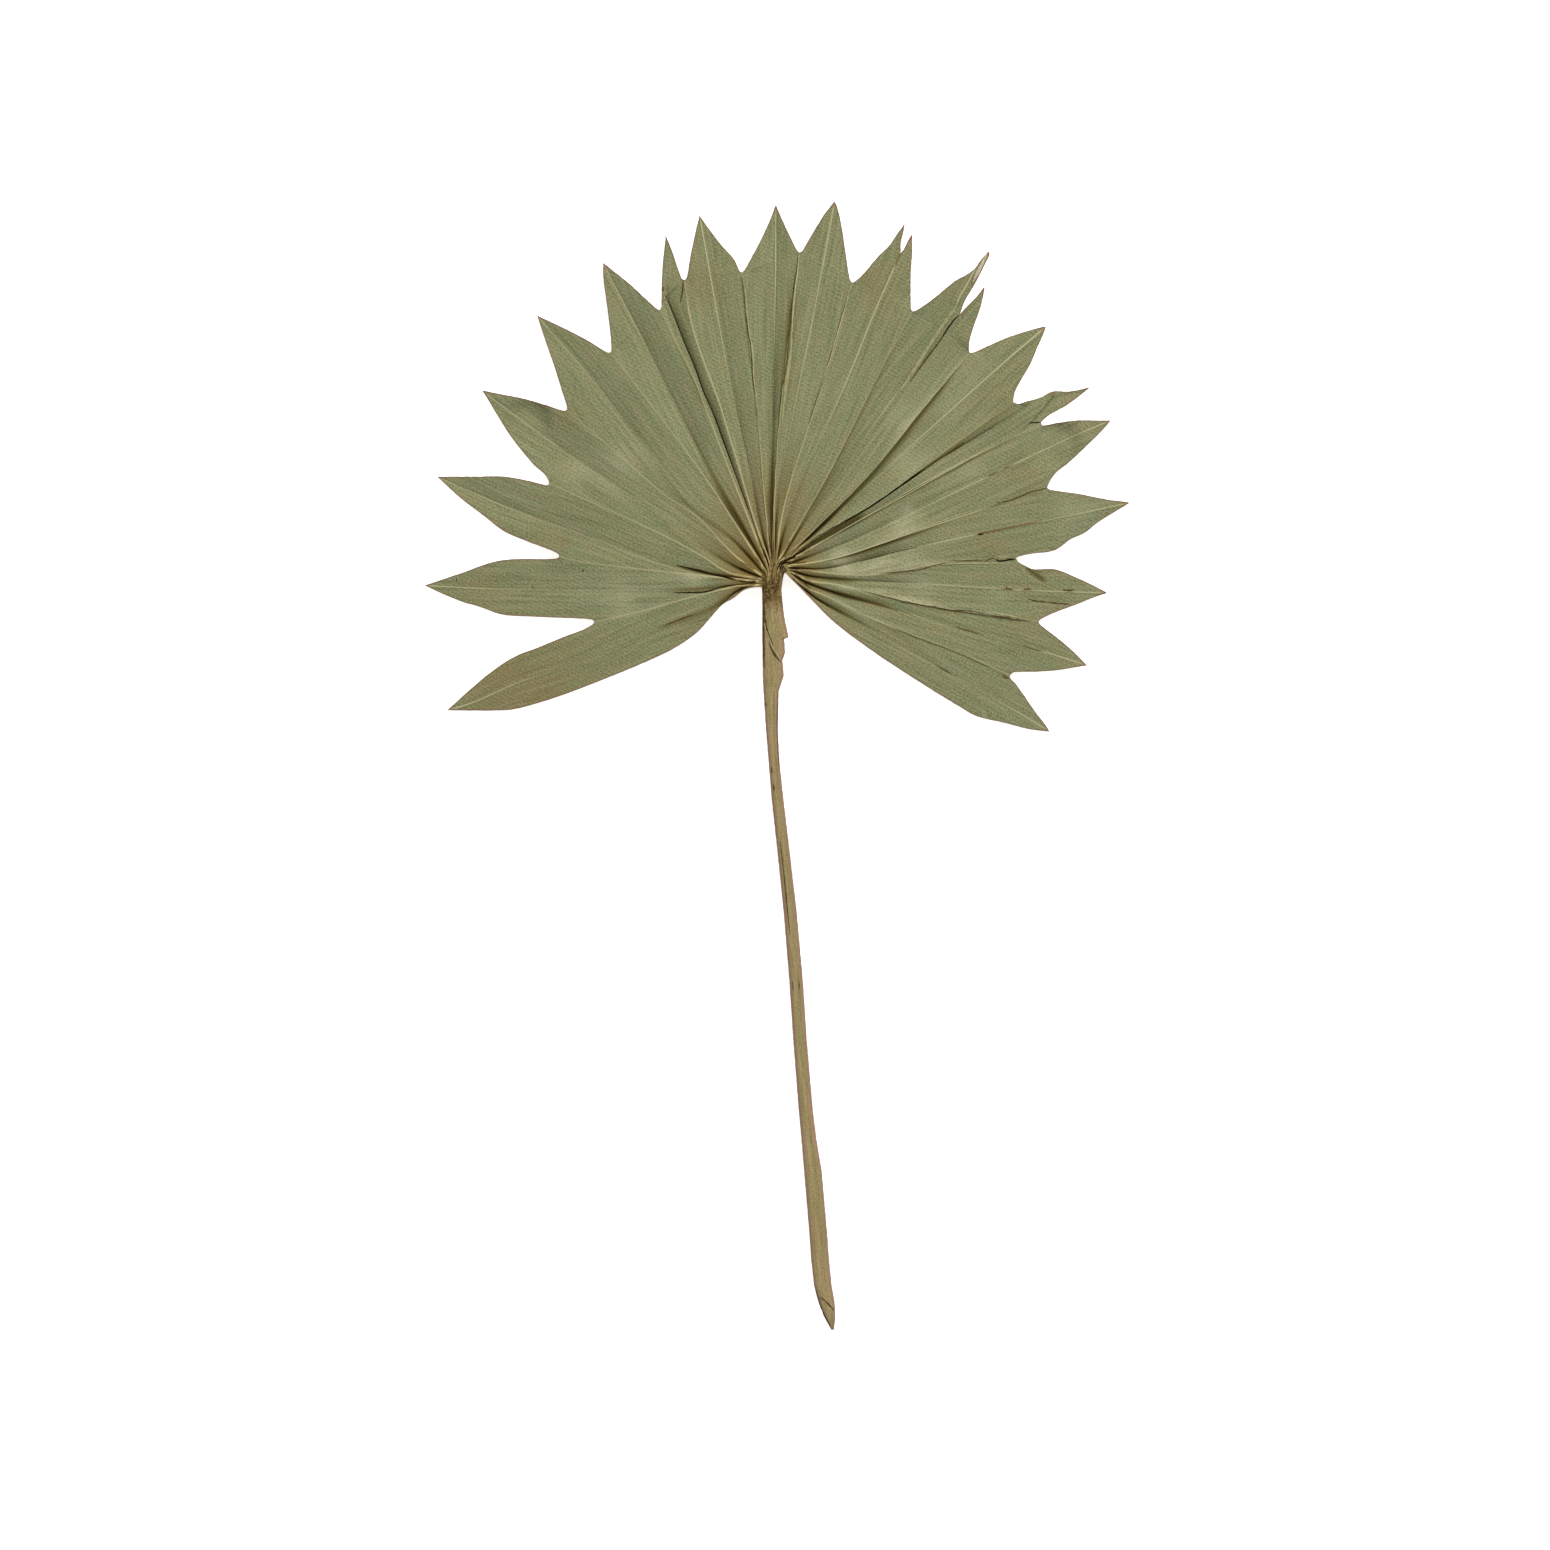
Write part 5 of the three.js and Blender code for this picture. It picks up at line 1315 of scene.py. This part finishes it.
# %% Where edges have curled or rolled up
# their pale colour is painted light, where a curled edge stands up into the lamp
CURLS = [  # the same, for pale threads
    (0.3, [(-13.9, 195.4), (-13.1, 192.2), (-12.6, 188.2), (-12.3, 184.2), (-11.9, 180.2),
           (-11.4, 176.2), (-11.1, 173), (-10.3, 169), (-9.9, 165.4), (-9.5, 161), (-9.3, 156.2),
           (-9, 152.2), (-8.3, 148.2), (-7.9, 144.2), (-7.3, 139)]),
    (0.4, [(23.2, 92.2), (30, 96.2), (37.2, 100.2), (45.2, 104.6), (53.2, 109), (61.2, 113.6),
           (69.6, 118.2), (78, 123)]),
    (0.55, [(8.8, 204.2), (8.6, 200.2), (8, 195.4), (7.3, 190.2), (6.5, 182.2), (6, 174.2),
            (5.4, 168.2)]),
    (0.35, [(-13.5, 193.8), (-13, 191.8)]),
    (0.3, [(-9.9, 169), (-9.6, 165.4), (-9.5, 161.4)]),
    (0.4, [(28.8, 189.4), (27.6, 184.2), (26, 179), (24.4, 173.4), (22.8, 168.2), (21.6, 163), (20, 159),
           (18.8, 155.4)]),
    (0.45, [(65.2, 80.2), (73.2, 80.7), (83.2, 80.8), (94, 80.8)]),
    (0.4, [(87.6, 83.7), (90.4, 83.2), (93.2, 83.6)]),
    (0.4, [(52.4, 61), (56.4, 59.4), (60.4, 58.2)]),
    (0.5, [(85.6, 61.4), (89.4, 60.5), (94.4, 59.6), (98, 58.8)]),
    (0.3, [(37.2, 86.9), (49.2, 91.2), (63.2, 96.7), (77.2, 101.5), (88, 104.9)]),
]
# paler than the blade: painted light on edges that stand up
ROLLS = [  # the same, for edges that have rolled up
    (1.4, [(6, 172), (5.7, 168.2), (5.1, 162.2), (4.2, 156.2), (3.5, 151), (3.1, 147), (2.6, 142.2),
           (2, 137.4)]),
    (1.6, [(72.8, 185.8), (70.1, 181.3), (66.6, 176.2), (63.2, 171.2), (60.4, 167), (58, 163.1),
           (52.8, 155), (48.7, 149.2)]),
]
print("curled edges:", len(CURLS), "and rolled edges:", len(ROLLS))

# %% Where the stalk has cracked, with painted shadows beside its peeled lip
STALK_CRACKS_AND_SHADOWS = [  # the same, on the stalk
    (1.1, [(-5.2, 67.8), (-5.3, 61.4), (-5.3, 54.2), (-5.2, 46.2), (-5.1, 39)]),
    # the next two are painted shadows: beside the peeled lip, and below the end of its wedge
    (0.5, [(-5, 63.8), (-4.7, 59), (-4, 54.6), (-2.7, 50.8), (-1.4, 47.6)]),
    (0.55, [(-3.4, 49.4), (-2.1, 46.2), (-0.5, 43.6), (1.4, 41.3)]),
    (0.5, [(-4.8, 25.4), (-4.2, 23.8)]),
    (0.5, [(-2.2, -0.6), (-1.9, -3)]),
    (0.5, [(-1.4, -7.4), (-1.1, -10.2)]),
    (0.4, [(1.2, -29.8), (2.8, -43.8), (4.4, -59.8), (5.2, -67.8)]),
    (0.3, [(6.2, -86.2), (6.6, -90.2)]),
    (0.35, [(8.7, -86), (9, -89.6)]),
    (0.5, [(17.2, -212.2), (20.4, -215), (23.2, -218.2)]),
    (0.35, [(0.4, 30.2), (0, 14.2), (0.8, -1.8)]),
    (0.8, [(15.2, -208.6), (17.2, -215), (19.6, -221), (21.6, -224.2)]),
]
print("cracks of the stalk:", len(STALK_CRACKS_AND_SHADOWS))

# %% Threads on the sheet
THREAD_STEP, FEWEST_STEPS = 1, 8
THREAD_GAP = 0.06  # above what it lies on, so that no grain pokes through
CRACK_HEIGHT, CURL_HEIGHT = 0.12, 0.45  # as shares of the width
HEIGHT_ABOVE = 0.3  # share of its height by which its middle lies above what carries it
NARROW_END = 0.15  # width at its ends, as a share of its full width
THREAD_RAG_LENGTH = 1.7
RAY_START = 0.1  # m, well above the leaf


def height_at(tree, x, y):
    """Height of a piece's upper side, or of its nearest rim where nothing of it lies below the place."""
    hit = tree.ray_cast(Vector((x * MM, y * MM, RAY_START)), Vector((0, 0, -1)))[0]
    return (hit or tree.find_nearest(Vector((x * MM, y * MM, HUB_HEIGHT * MM)))[0]).z / MM


def thread_piece(name, threads, height, ragged_by, below):
    """One piece of many ragged threads that lie on the piece below."""
    tree = BVHTree.FromPolygons([v.co for v in below.data.vertices],
                                [p.vertices for p in below.data.polygons])
    points, faces = [], []
    for number, (width, places) in enumerate(threads):
        length = sum(math.dist(a, b) for a, b in zip(places, places[1:]))
        steps = max(FEWEST_STEPS, round(length / THREAD_STEP))
        share = np.linspace(0, 1, steps)
        run = run_of(places, share)
        rag = [rough(k / THREAD_RAG_LENGTH, number, 9) for k in range(steps)]
        taper = NARROW_END + (1 - NARROW_END) * np.sin(math.pi * share)**0.5
        radii = width / 2 * (1 + ragged_by * np.array(rag)) * taper
        tops = [height_at(tree, x, y) for x, y in run]
        tops = [max(tops[max(0, k - 1):k + 2]) for k in range(steps)]
        path = np.column_stack([run, np.array(tops) + THREAD_GAP + HEIGHT_ABOVE * height * width])
        add_tube(points, faces, path, radii, height=height)
    return new_piece(name, new_mesh(name, points, faces), 75)


groove_shade = thread_piece("groove_shade", GROOVE_SHADE_LINES, CRACK_HEIGHT, 0.35, blade)
lap_shadows = thread_piece("lap_shadows", LAP_SHADOW_LINES, CRACK_HEIGHT, 0.6, blade)
dry_cracks = thread_piece("dry_cracks", CRACKS, CRACK_HEIGHT, 0.7, blade)
curled_edges = thread_piece("curled_edges", CURLS, CURL_HEIGHT, 0.5, blade)
rolled_edges = thread_piece("rolled_edges", ROLLS, CURL_HEIGHT, 0.5, blade)
stalk_cracks_and_shadows = thread_piece("stalk_cracks_and_shadows", STALK_CRACKS_AND_SHADOWS, CRACK_HEIGHT, 0.7, stalk)
print("faces of the deep grooves:", len(groove_shade.data.polygons))

# %% [markdown]
# ## Nodes and colours
#
# Every finish below is built from nodes, so that it holds at any distance and from any side. One function
# adds a node with its settings and links, another turns a colour given as sRGB hex to the linear values
# that shaders take, and a third lays colours over each other like glazes of paint. Patterns are laid out in
# millimetres: a mapping divides the marks by the size that a vein or a blotch has on the real leaf.

# %% Helpers for finishes
SOFT = {"interpolation_type": "SMOOTHSTEP"}


def linear(hex_colour):
    """An sRGB colour such as "#8b8b66" as the linear RGBA that a shader takes."""
    channels = [int(hex_colour[k:k + 2], 16) / 255 for k in (1, 3, 5)]
    return [c / 12.92 if c <= 0.04045 else ((c + 0.055) / 1.055)**2.4 for c in channels] + [1]


def add_node(material, kind, settings={}, links={}):
    """Adds a node. Settings go to its properties or sockets, links join its inputs to other outputs."""
    node = material.node_tree.nodes.new("ShaderNode" + kind)
    for name, value in settings.items():
        if isinstance(name, str) and hasattr(node, name):
            setattr(node, name, value)
        else:
            node.inputs[name].default_value = value
    for name, output in links.items():
        material.node_tree.links.new(output, node.inputs[name])
    return node


def new_finish(name, **shader_values):
    """A material with a Principled shader, and the values that are the same all over its surface."""
    material = bpy.data.materials.new(name)
    material.use_nodes = True
    shader = material.node_tree.nodes["Principled BSDF"]
    for socket, value in shader_values.items():
        shader.inputs[socket.replace("_", " ")].default_value = value
    return material


def put_on(piece, material, **outputs):
    """Gives a piece its finish, with what varies over the surface linked to the shader."""
    shader = material.node_tree.nodes["Principled BSDF"]
    for socket, output in outputs.items():
        material.node_tree.links.new(output, shader.inputs[socket.replace("_", " ")])
    piece.data.materials.append(material)


def glaze(material, colour, layers):
    """Colours laid over each other, from a hex colour up. A layer has a mark or pattern, where it begins and
    where it is full, its strength there and its colour. A strength that is an output varies from place to
    place."""
    for source, begins, full, strength, hex_colour in layers:
        mask = add_node(material, "MapRange", {**SOFT, "From Min": begins, "From Max": full},
                        {"Value": source}).outputs["Result"]
        amount = {1: strength} if isinstance(strength, (int, float)) else {}
        varying = {} if amount else {1: strength}
        mask = add_node(material, "Math", {"operation": "MULTIPLY", "use_clamp": True, **amount},
                        {0: mask, **varying}).outputs[0]
        plain = {6: linear(colour)} if isinstance(colour, str) else {}
        glazed = {} if plain else {6: colour}
        colour = add_node(material, "Mix", {"data_type": "RGBA", **plain, 7: linear(hex_colour)},
                          {0: mask, **glazed}).outputs[2]
    return colour


print("sage green in linear light:", [round(c, 3) for c in linear("#8b9069")])

# %% [markdown]
# ## The dry blade
#
# A fan palm's blade dries to a sage green-grey with a khaki cast. Its surface is satin, not shiny: a waxy
# skin over tight parallel veins, joined by much finer cross veins. The eye reads it as a matt sheet with
# streaks along the segments, a faint hatch across them, pale midribs, tan crests, brown tissue near the hub
# and a thin mauve brown rim where the edge has died back. The dark deep in the folds and beside some sutures
# is painted shade; the paler bands beside some crests and some paler patches are painted light.
#
# The patterns could be painted on the flat outline, but then they would run across the folds. So they are
# laid out in the marks, and turn with each segment's veins.

# %% Blade finish: marks
TISSUE = dict(  # the same for all dry tissue, which is mostly cellulose
    IOR=1.45,
    Specular_IOR_Level=0.02)  # little of that shine is left: it is porous, and its dark folds stay warm
dry_blade = new_finish("dry_palm_blade", **TISSUE)
marks = {}
for attribute_name, names in MARKS.items():
    source = add_node(dry_blade, "Attribute", {"attribute_name": attribute_name}).outputs["Vector"]
    split = add_node(dry_blade, "SeparateXYZ", {}, {"Vector": source})
    marks.update({name: split.outputs[k] for k, name in enumerate(names)})
    marks[attribute_name] = source
print("marks:", sorted(marks))

# %% Blade finish: patterns
BLADE_PATTERNS = [  # width across and length along the veins in mm, and how many finer ones lie in each
    ("streaks", 1.1, 30, 3),
    ("hatch", 2.6, 0.9, 1),  # real cross veins are 0.3 mm apart, too fine to show
    ("blotches", 9, 34, 3),
    ("clouds", 3.2, 11, 2),
    ("grain", 0.5, 0.6, 1),
]
PRINT_SPACING, PRINT_TILT, PRINT_WAVER = 1.44, -27, 1.6  # of the cloth that the leaf was pressed in
WAVE_SCALE = math.pi / 10  # makes one band of the wave one unit wide

grown = {}
for name, width, length, detail in BLADE_PATTERNS:
    scaled = add_node(dry_blade, "Mapping", {"Scale": (1 / width, 1 / length, 1)},
                      {"Vector": marks["leaf_place"]})
    grown[name] = add_node(dry_blade, "TexNoise", {"Scale": 1, "Detail": detail},
                           {"Vector": scaled.outputs["Vector"]}).outputs["Fac"]
flat_place = add_node(dry_blade, "TexCoord").outputs["Object"]
turned = add_node(dry_blade, "Mapping",
                  {"vector_type": "TEXTURE", "Rotation": (0, 0, math.radians(PRINT_TILT)),
                   "Scale": (PRINT_SPACING * MM, PRINT_SPACING * MM, 1)}, {"Vector": flat_place})
grown["print"] = add_node(dry_blade, "TexWave",
                          {"bands_direction": "Y", "Scale": WAVE_SCALE, "Distortion": PRINT_WAVER,
                           "Detail": 1, "Detail Scale": 0.7},
                          {"Vector": turned.outputs["Vector"]}).outputs["Fac"]
print("patterns:", sorted(grown))

# %% Blade finish: colour in layers
BLADE_GREEN, BLADE_KHAKI = "#737756", "#797653"
sizes = {name: add_node(dry_blade, "Math", {"operation": "ABSOLUTE"}, {0: marks[name]}).outputs[0]
         for name in ("across", "rib")}
dark_ridge = add_node(dry_blade, "Math", {"operation": "MULTIPLY", 1: -1},
                      {0: marks["ridge_tone"]}).outputs[0]
near_hub = add_node(dry_blade, "MapRange", {**SOFT, "From Min": 25, "From Max": 8},
                    {"Value": marks["along"]}).outputs["Result"]
blade_layers = [
    (grown["blotches"], 0.36, 0.64, 0.6, BLADE_KHAKI),
    (marks["tan"], 0, 1, 0.7, "#7c6b47"),
    # below 0 the tan mark is paler: bleached tissue and painted light
    (marks["tan"], 0, -1, 1, "#a3a07f"),
    (grown["streaks"], 0.5, 0.66, 0.5, "#8c8b6b"),
    (grown["streaks"], 0.5, 0.34, 0.5, "#575a3c"),
    (grown["clouds"], 0.5, 0.66, 0.36, "#877a5e"),
    (grown["clouds"], 0.5, 0.34, 0.28, "#6c7656"),
    (grown["hatch"], 0.5, 0.8, 0.3, "#87895f"),
    (grown["hatch"], 0.5, 0.2, 0.3, "#585b3c"),
    (grown["print"], 0, 1, 0.09, "#a3a47e"),
    (grown["print"], 1, 0, 0.09, "#45472b"),
    (grown["grain"], 0.5, 0.2, 0.8, "#484a2c"),
    (grown["grain"], 0.5, 0.8, 0.8, "#969772"),
    (marks["tan"], 0.2, 1, 0.16, "#6b5a30"),
    (marks["along"], 28, 5, 0.85, "#6b572d"),
    # painted shade in the folds, beside lapped sutures and in dents: olive, then near black brown
    (marks["fold"], 0, 0.7, 0.7, "#554b18"),
    (marks["fold"], 0.25, 1, 0.95, "#221704"),
    (sizes["rib"], 0.32, 0.1, marks["rib_tone"], "#a9a680"),
    (marks["ridge"], 0.34, 0.08, marks["ridge_tone"], "#a7a17b"),
    (marks["ridge"], 0.5, 0.1, near_hub, "#b1a06e"),
    (marks["ridge"], 0.45, 0.15, dark_ridge, "#2c210e"),
    (sizes["across"], 0.5, 0.15, marks["crack_tone"], "#5e4022"),
    (marks["edge"], 0.7, 0.25, 0.75, "#785a4c"),
    (marks["tip"], 4, 0.5, 0.7, "#755443"),
]
blade_colour = glaze(dry_blade, BLADE_GREEN, blade_layers)
print("layers over the green:", len(blade_layers))

# %% Blade finish: sheen and relief
SATIN, MATT = 0.52, 0.7  # roughness of the dark streaks and of the pale ones
BLADE_RELIEF = [("streaks", 0.16), ("hatch", 0.06), ("print", 0.02), ("grain", 0.05)]  # heights in mm
BUMP_STRENGTH = 0.8
roughness = add_node(dry_blade, "MapRange",
                     {"From Min": 0.2, "From Max": 0.8, "To Min": SATIN, "To Max": MATT},
                     {"Value": grown["streaks"]}).outputs["Result"]
relief = None
for name, height in BLADE_RELIEF:
    below = {"Height": grown[name], **({"Normal": relief} if relief else {})}
    relief = add_node(dry_blade, "Bump", {"Strength": BUMP_STRENGTH, "Distance": height * MM},
                      below).outputs["Normal"]
put_on(blade, dry_blade, Base_Color=blade_colour, Roughness=roughness, Normal=relief)
print("blade finish:", len(dry_blade.node_tree.nodes), "nodes")

# %% [markdown]
# ## The dry stalk
#
# The stalk is the same tissue, but all fibre: straw brown with olive streaks, a mauve brown skin at its
# flanks, dark flecks where the skin has cracked, and a brown felt at its head. One wood grain over all of it
# would be simpler, but fibres, streaks and flecks have their own lengths, and the eye tells a stalk from
# wood by them.

# %% Stalk finish: patterns
STALK_PATTERNS = [  # the same as for the blade
    ("fibres", 0.55, 14, 3), ("streaks", 1.7, 32, 2), ("flecks", 0.8, 2.4, 2), ("felt", 0.75, 1.1, 3),
    ("specks", 0.5, 0.6, 1),
]
dry_stalk = new_finish("dry_palm_stalk", **TISSUE, Roughness=0.6)
stalk_place = add_node(dry_stalk, "Attribute", {"attribute_name": "stalk_place"}).outputs["Vector"]
split = add_node(dry_stalk, "SeparateXYZ", {}, {"Vector": stalk_place})
height_up, from_edge = split.outputs["Y"], split.outputs["Z"]
spun = {}
for name, width, length, detail in STALK_PATTERNS:
    scaled = add_node(dry_stalk, "Mapping", {"Scale": (1 / width, 1 / length, 1)},
                      {"Vector": stalk_place})
    spun[name] = add_node(dry_stalk, "TexNoise", {"Scale": 1, "Detail": detail},
                          {"Vector": scaled.outputs["Vector"]}).outputs["Fac"]
head = add_node(dry_stalk, "MapRange", {**SOFT, "From Min": 58, "From Max": 71},
                {"Value": height_up}).outputs["Result"]
print("patterns:", sorted(spun))

# %% Stalk finish: colour and relief
STALK_STRAW, STALK_OLIVE = "#92805c", "#817950"
STALK_RELIEF = 0.12
colour = glaze(dry_stalk, STALK_STRAW, [
    (spun["streaks"], 0.4, 0.62, 1, STALK_OLIVE),
    (spun["fibres"], 0.5, 0.75, 0.5, "#a99c70"),
    (spun["fibres"], 0.48, 0.25, 0.5, "#695a35"),
    (spun["flecks"], 0.3, 0.2, 0.8, "#4d3f20"),
    (spun["specks"], 0.5, 0.75, 0.4, "#b3a374"),
    (spun["specks"], 0.5, 0.25, 0.4, "#6a5a36"),
    (from_edge, 1.7, 0.4, 0.8, "#86685a"),
    (head, 0, 1, 0.9, "#57431f"),
    (spun["felt"], 0.5, 0.62, head, "#8d7443"),
    (spun["specks"], 0.5, 0.35, head, "#30200b"),
])
relief = add_node(dry_stalk, "Bump",
                  {"Strength": BUMP_STRENGTH, "Distance": STALK_RELIEF * MM},
                  {"Height": spun["fibres"]}).outputs["Normal"]
put_on(stalk, dry_stalk, Base_Color=colour, Normal=relief)
print("stalk finish:", len(dry_stalk.node_tree.nodes), "nodes")

# %% [markdown]
# ## The hub's skin and fibres
#
# The skin over the hub is the leaf's outer skin, dried brown where the veins gather. The eye reads it as
# matt and crumpled: tan on its ridges, nearly black in its grooves, strewn with specks, and straw coloured
# where it runs out on the stalk. The near black of the grooves is painted shade over its dark brown. Its
# pattern follows the pleats, because it is laid out by their lines. The fibres are bare strands of the same
# veins, from tan to dark brown, each its own shade.

# %% The hub skin's finish
SKIN_THREADS = (1 / 2, 14)  # width in lines of the pleats, and length in the same unit
SKIN_SPECK = 0.75
dry_skin = new_finish("dry_palm_skin", **TISSUE, Roughness=0.65)
skin_place = add_node(dry_skin, "Attribute", {"attribute_name": "skin_place"}).outputs["Vector"]
line_at, way_down, crest_at = add_node(dry_skin, "SeparateXYZ", {}, {"Vector": skin_place}).outputs
threads = add_node(dry_skin, "Mapping", {"Scale": (1 / SKIN_THREADS[0], 1 / SKIN_THREADS[1], 1)},
                   {"Vector": skin_place})
threads = add_node(dry_skin, "TexNoise", {"Scale": 1, "Detail": 2},
                   {"Vector": threads.outputs["Vector"]}).outputs["Fac"]
specks = add_node(dry_skin, "TexCoord").outputs["Object"]
specks = add_node(dry_skin, "TexNoise", {"Scale": 1 / (SKIN_SPECK * MM), "Detail": 3},
                  {"Vector": specks}).outputs["Fac"]
ends = add_node(dry_skin, "MapRange", {**SOFT, "From Min": 15, "From Max": 36},
                {"Value": way_down}).outputs["Result"]
colour = glaze(dry_skin, "#5c4526", [
    (crest_at, 0.2, 1, 0.5, "#97824f"),
    # painted shade: nearly black in the skin's grooves, over its dark brown
    (crest_at, 0, -0.9, 0.6, "#241705"),
    (threads, 0.52, 0.66, 0.3, "#9c8a5c"),
    (threads, 0.48, 0.34, 0.4, "#33240f"),
    (line_at, 22, 34, 0.5, "#8a7755"),
    (ends, 0, 1, 0.7, "#836d46"),
    (specks, 0.5, 0.38, 0.9, "#2b1c09"),
    (specks, 0.53, 0.64, 0.7, "#a8946a"),
])
put_on(hub_skin, dry_skin, Base_Color=colour)
print("skin finish:", len(dry_skin.node_tree.nodes), "nodes")

# %% The fibres' finish
FIBRE_SPECK = 1.2
palm_fibre = new_finish("palm_fibre", **TISSUE, Roughness=0.65)
shade = add_node(palm_fibre, "Attribute", {"attribute_name": "fibre_shade"}).outputs["Vector"]
shade = add_node(palm_fibre, "SeparateXYZ", {}, {"Vector": shade}).outputs["X"]
speckle = add_node(palm_fibre, "TexCoord").outputs["Object"]
speckle = add_node(palm_fibre, "TexNoise", {"Scale": 1 / (FIBRE_SPECK * MM), "Detail": 2},
                   {"Vector": speckle}).outputs["Fac"]
colour = glaze(palm_fibre, "#45331a", [(shade, 0.3, 0.6, 1, "#a28c5a"), (speckle, 0.5, 0.7, 0.6, "#3c2b12")])
put_on(hub_fibres, palm_fibre, Base_Color=colour)
print("fibre finish:", len(palm_fibre.node_tree.nodes), "nodes")

# %% [markdown]
# ## Lip, margins, grooves and cracks
#
# The peeled lip and the rolled tip are skin seen from its inner side, which has bleached: cream and papery.
# Curled and rolled margins are the blade's own tissue; their paler colour is painted light, where they stand
# up into it. Grooves and fold lines are painted shade, laid where light hardly reaches. It looks brown or
# olive there rather than black, because dry tissue passes its warm colour on to what lies beside it. Cracks
# are the brown of tissue that has split, and some lines on the stalk are painted shadow beside its peeled
# lip. All of them show fine fibres lengthwise, so one loop makes them and only the two colours differ.

# %% Finishes of the small pieces
SMALL_FINISHES = [  # name, piece, its colour and that of its fibres
    ("peeled_skin", peeled_lip, "#a2976a", "#82784c"),  # pale straw
    ("bleached_margin", rolled_tip, "#b5aa92", "#857458"),  # cream, with no green left
    # curled and rolled margins are paler than the blade, which is painted light
    ("curled_margin", curled_edges, "#a5a17c", "#8b875f"),  # pale sage
    ("rolled_margin", rolled_edges, "#918d68", "#77734c"),  # the blade's green, a little paler
    # the next two are painted shade: near black in grooves, olive under lapped edges
    ("painted_groove_shade", groove_shade, "#170f01", "#2a1f06"),  # nearly black brown
    ("painted_lap_shadow", lap_shadows, "#3d3611", "#554c22"),  # olive, from the sheet above
    ("crack_tissue", dry_cracks, "#48351a", "#60492a"),  # the brown of tissue that has split
    # on the stalk: cracks, and painted shadows beside the peeled lip
    ("stalk_cracks_and_shadows", stalk_cracks_and_shadows, "#3f2e16", "#5f4a2a"),  # the same, darker on the stalk
]
FINE_FIBRE = (0.4, 2.5, 0.4)
for name, piece, tissue_colour, fibre_colour in SMALL_FINISHES:
    finish = new_finish(name, **TISSUE, Roughness=0.6)
    where = add_node(finish, "TexCoord").outputs["Object"]
    scaled = add_node(finish, "Mapping", {"Scale": [1 / (size * MM) for size in FINE_FIBRE]},
                      {"Vector": where})
    fibres = add_node(finish, "TexNoise", {"Scale": 1, "Detail": 3},
                      {"Vector": scaled.outputs["Vector"]}).outputs["Fac"]
    colour = glaze(finish, tissue_colour, [(fibres, 0.45, 0.7, 1, fibre_colour)])
    put_on(piece, finish, Base_Color=colour)
print("materials:", [m.name for m in bpy.data.materials])

# %% [markdown]
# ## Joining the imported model
#
# Each piece rides on the leaf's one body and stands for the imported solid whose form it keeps.

# %% What rides, what replaces and where finishes come from
OF_BLADE, OF_STALK = ("leaf_blade", "dry_blade"), ("leaf_stalk", "dry_stalk")
pieces = [
    (blade, *OF_BLADE), (stalk, *OF_STALK), (groove_shade, *OF_BLADE), (dry_cracks, *OF_BLADE),
    (curled_edges, *OF_BLADE), (lap_shadows, *OF_BLADE), (rolled_edges, *OF_BLADE), (stalk_cracks_and_shadows, *OF_STALK),
    (hub_skin, *OF_STALK), (hub_fibres, *OF_STALK), (peeled_lip, *OF_STALK), (rolled_tip, *OF_BLADE),
]
for piece, node, slot in pieces:
    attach(piece, "root")
    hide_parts(node)
print("pieces:", [piece.name for piece, node, slot in pieces])

# %% [markdown]
# ## Floor, light and camera
#
# The leaf lies on a pale floor and is seen from straight above, far enough away that the raised hub isn't
# drawn larger. A wide soft lamp beyond the tips, a little to the right, rakes over the folds and leaves
# their far flanks darker, and an even pale sky fills the shadows.

# %% Floor
WHITE = (1, 1, 1, 1)
FLOOR_SIZE = 8
FLOOR_GLOW = 0.72  # a light table, as is used for photographing leaves, so that shadows stay pale
h = FLOOR_SIZE / 2
floor_mesh = new_mesh("floor", [(-h, -h, 0), (h, -h, 0), (h, h, 0), (-h, h, 0)], [(0, 1, 2, 3)])
floor = new_object("floor", floor_mesh)
put_on(floor, new_finish("pale_floor", Base_Color=linear("#f2f1ee"), Roughness=0.9,
                         Emission_Color=WHITE, Emission_Strength=FLOOR_GLOW))
print("floor:", FLOOR_SIZE, "m wide")

# %% Light
KEY_FROM = Vector((1.0, 2.6, 2.6))
KEY_SIZE = 3
KEY_POWER = 150
SKY_STRENGTH = 0.62
lamp = bpy.data.lights.new("soft_key", "AREA")
lamp.shape = "DISK"
lamp.size = KEY_SIZE
lamp.energy = KEY_POWER
lamp_object = new_object("soft_key", lamp)
lamp_object.location = KEY_FROM
lamp_object.rotation_mode = "QUATERNION"
lamp_object.rotation_quaternion = (-KEY_FROM).to_track_quat("-Z", "Y")

world = bpy.data.worlds.new("pale_sky")
world.use_nodes = True
sky = world.node_tree.nodes["Background"]
sky.inputs["Color"].default_value = WHITE
sky.inputs["Strength"].default_value = SKY_STRENGTH
bpy.context.scene.world = world
bpy.context.scene.view_settings.view_transform = "Standard"
print("key light from", [round(v, 2) for v in KEY_FROM], "m")

# %% Camera
PICTURE_WIDTH = 620 * MM
PICTURE_CENTRE = (-0.8 * MM, -3.8 * MM)
CAMERA_HEIGHT = 4
camera = bpy.data.cameras.new("camera")
camera.sensor_width = 36
camera.lens = camera.sensor_width * CAMERA_HEIGHT / PICTURE_WIDTH
camera_object = new_object("camera", camera)
camera_object.location = (*PICTURE_CENTRE, CAMERA_HEIGHT)
bpy.context.scene.camera = camera_object
print("lens:", round(camera.lens), "mm")
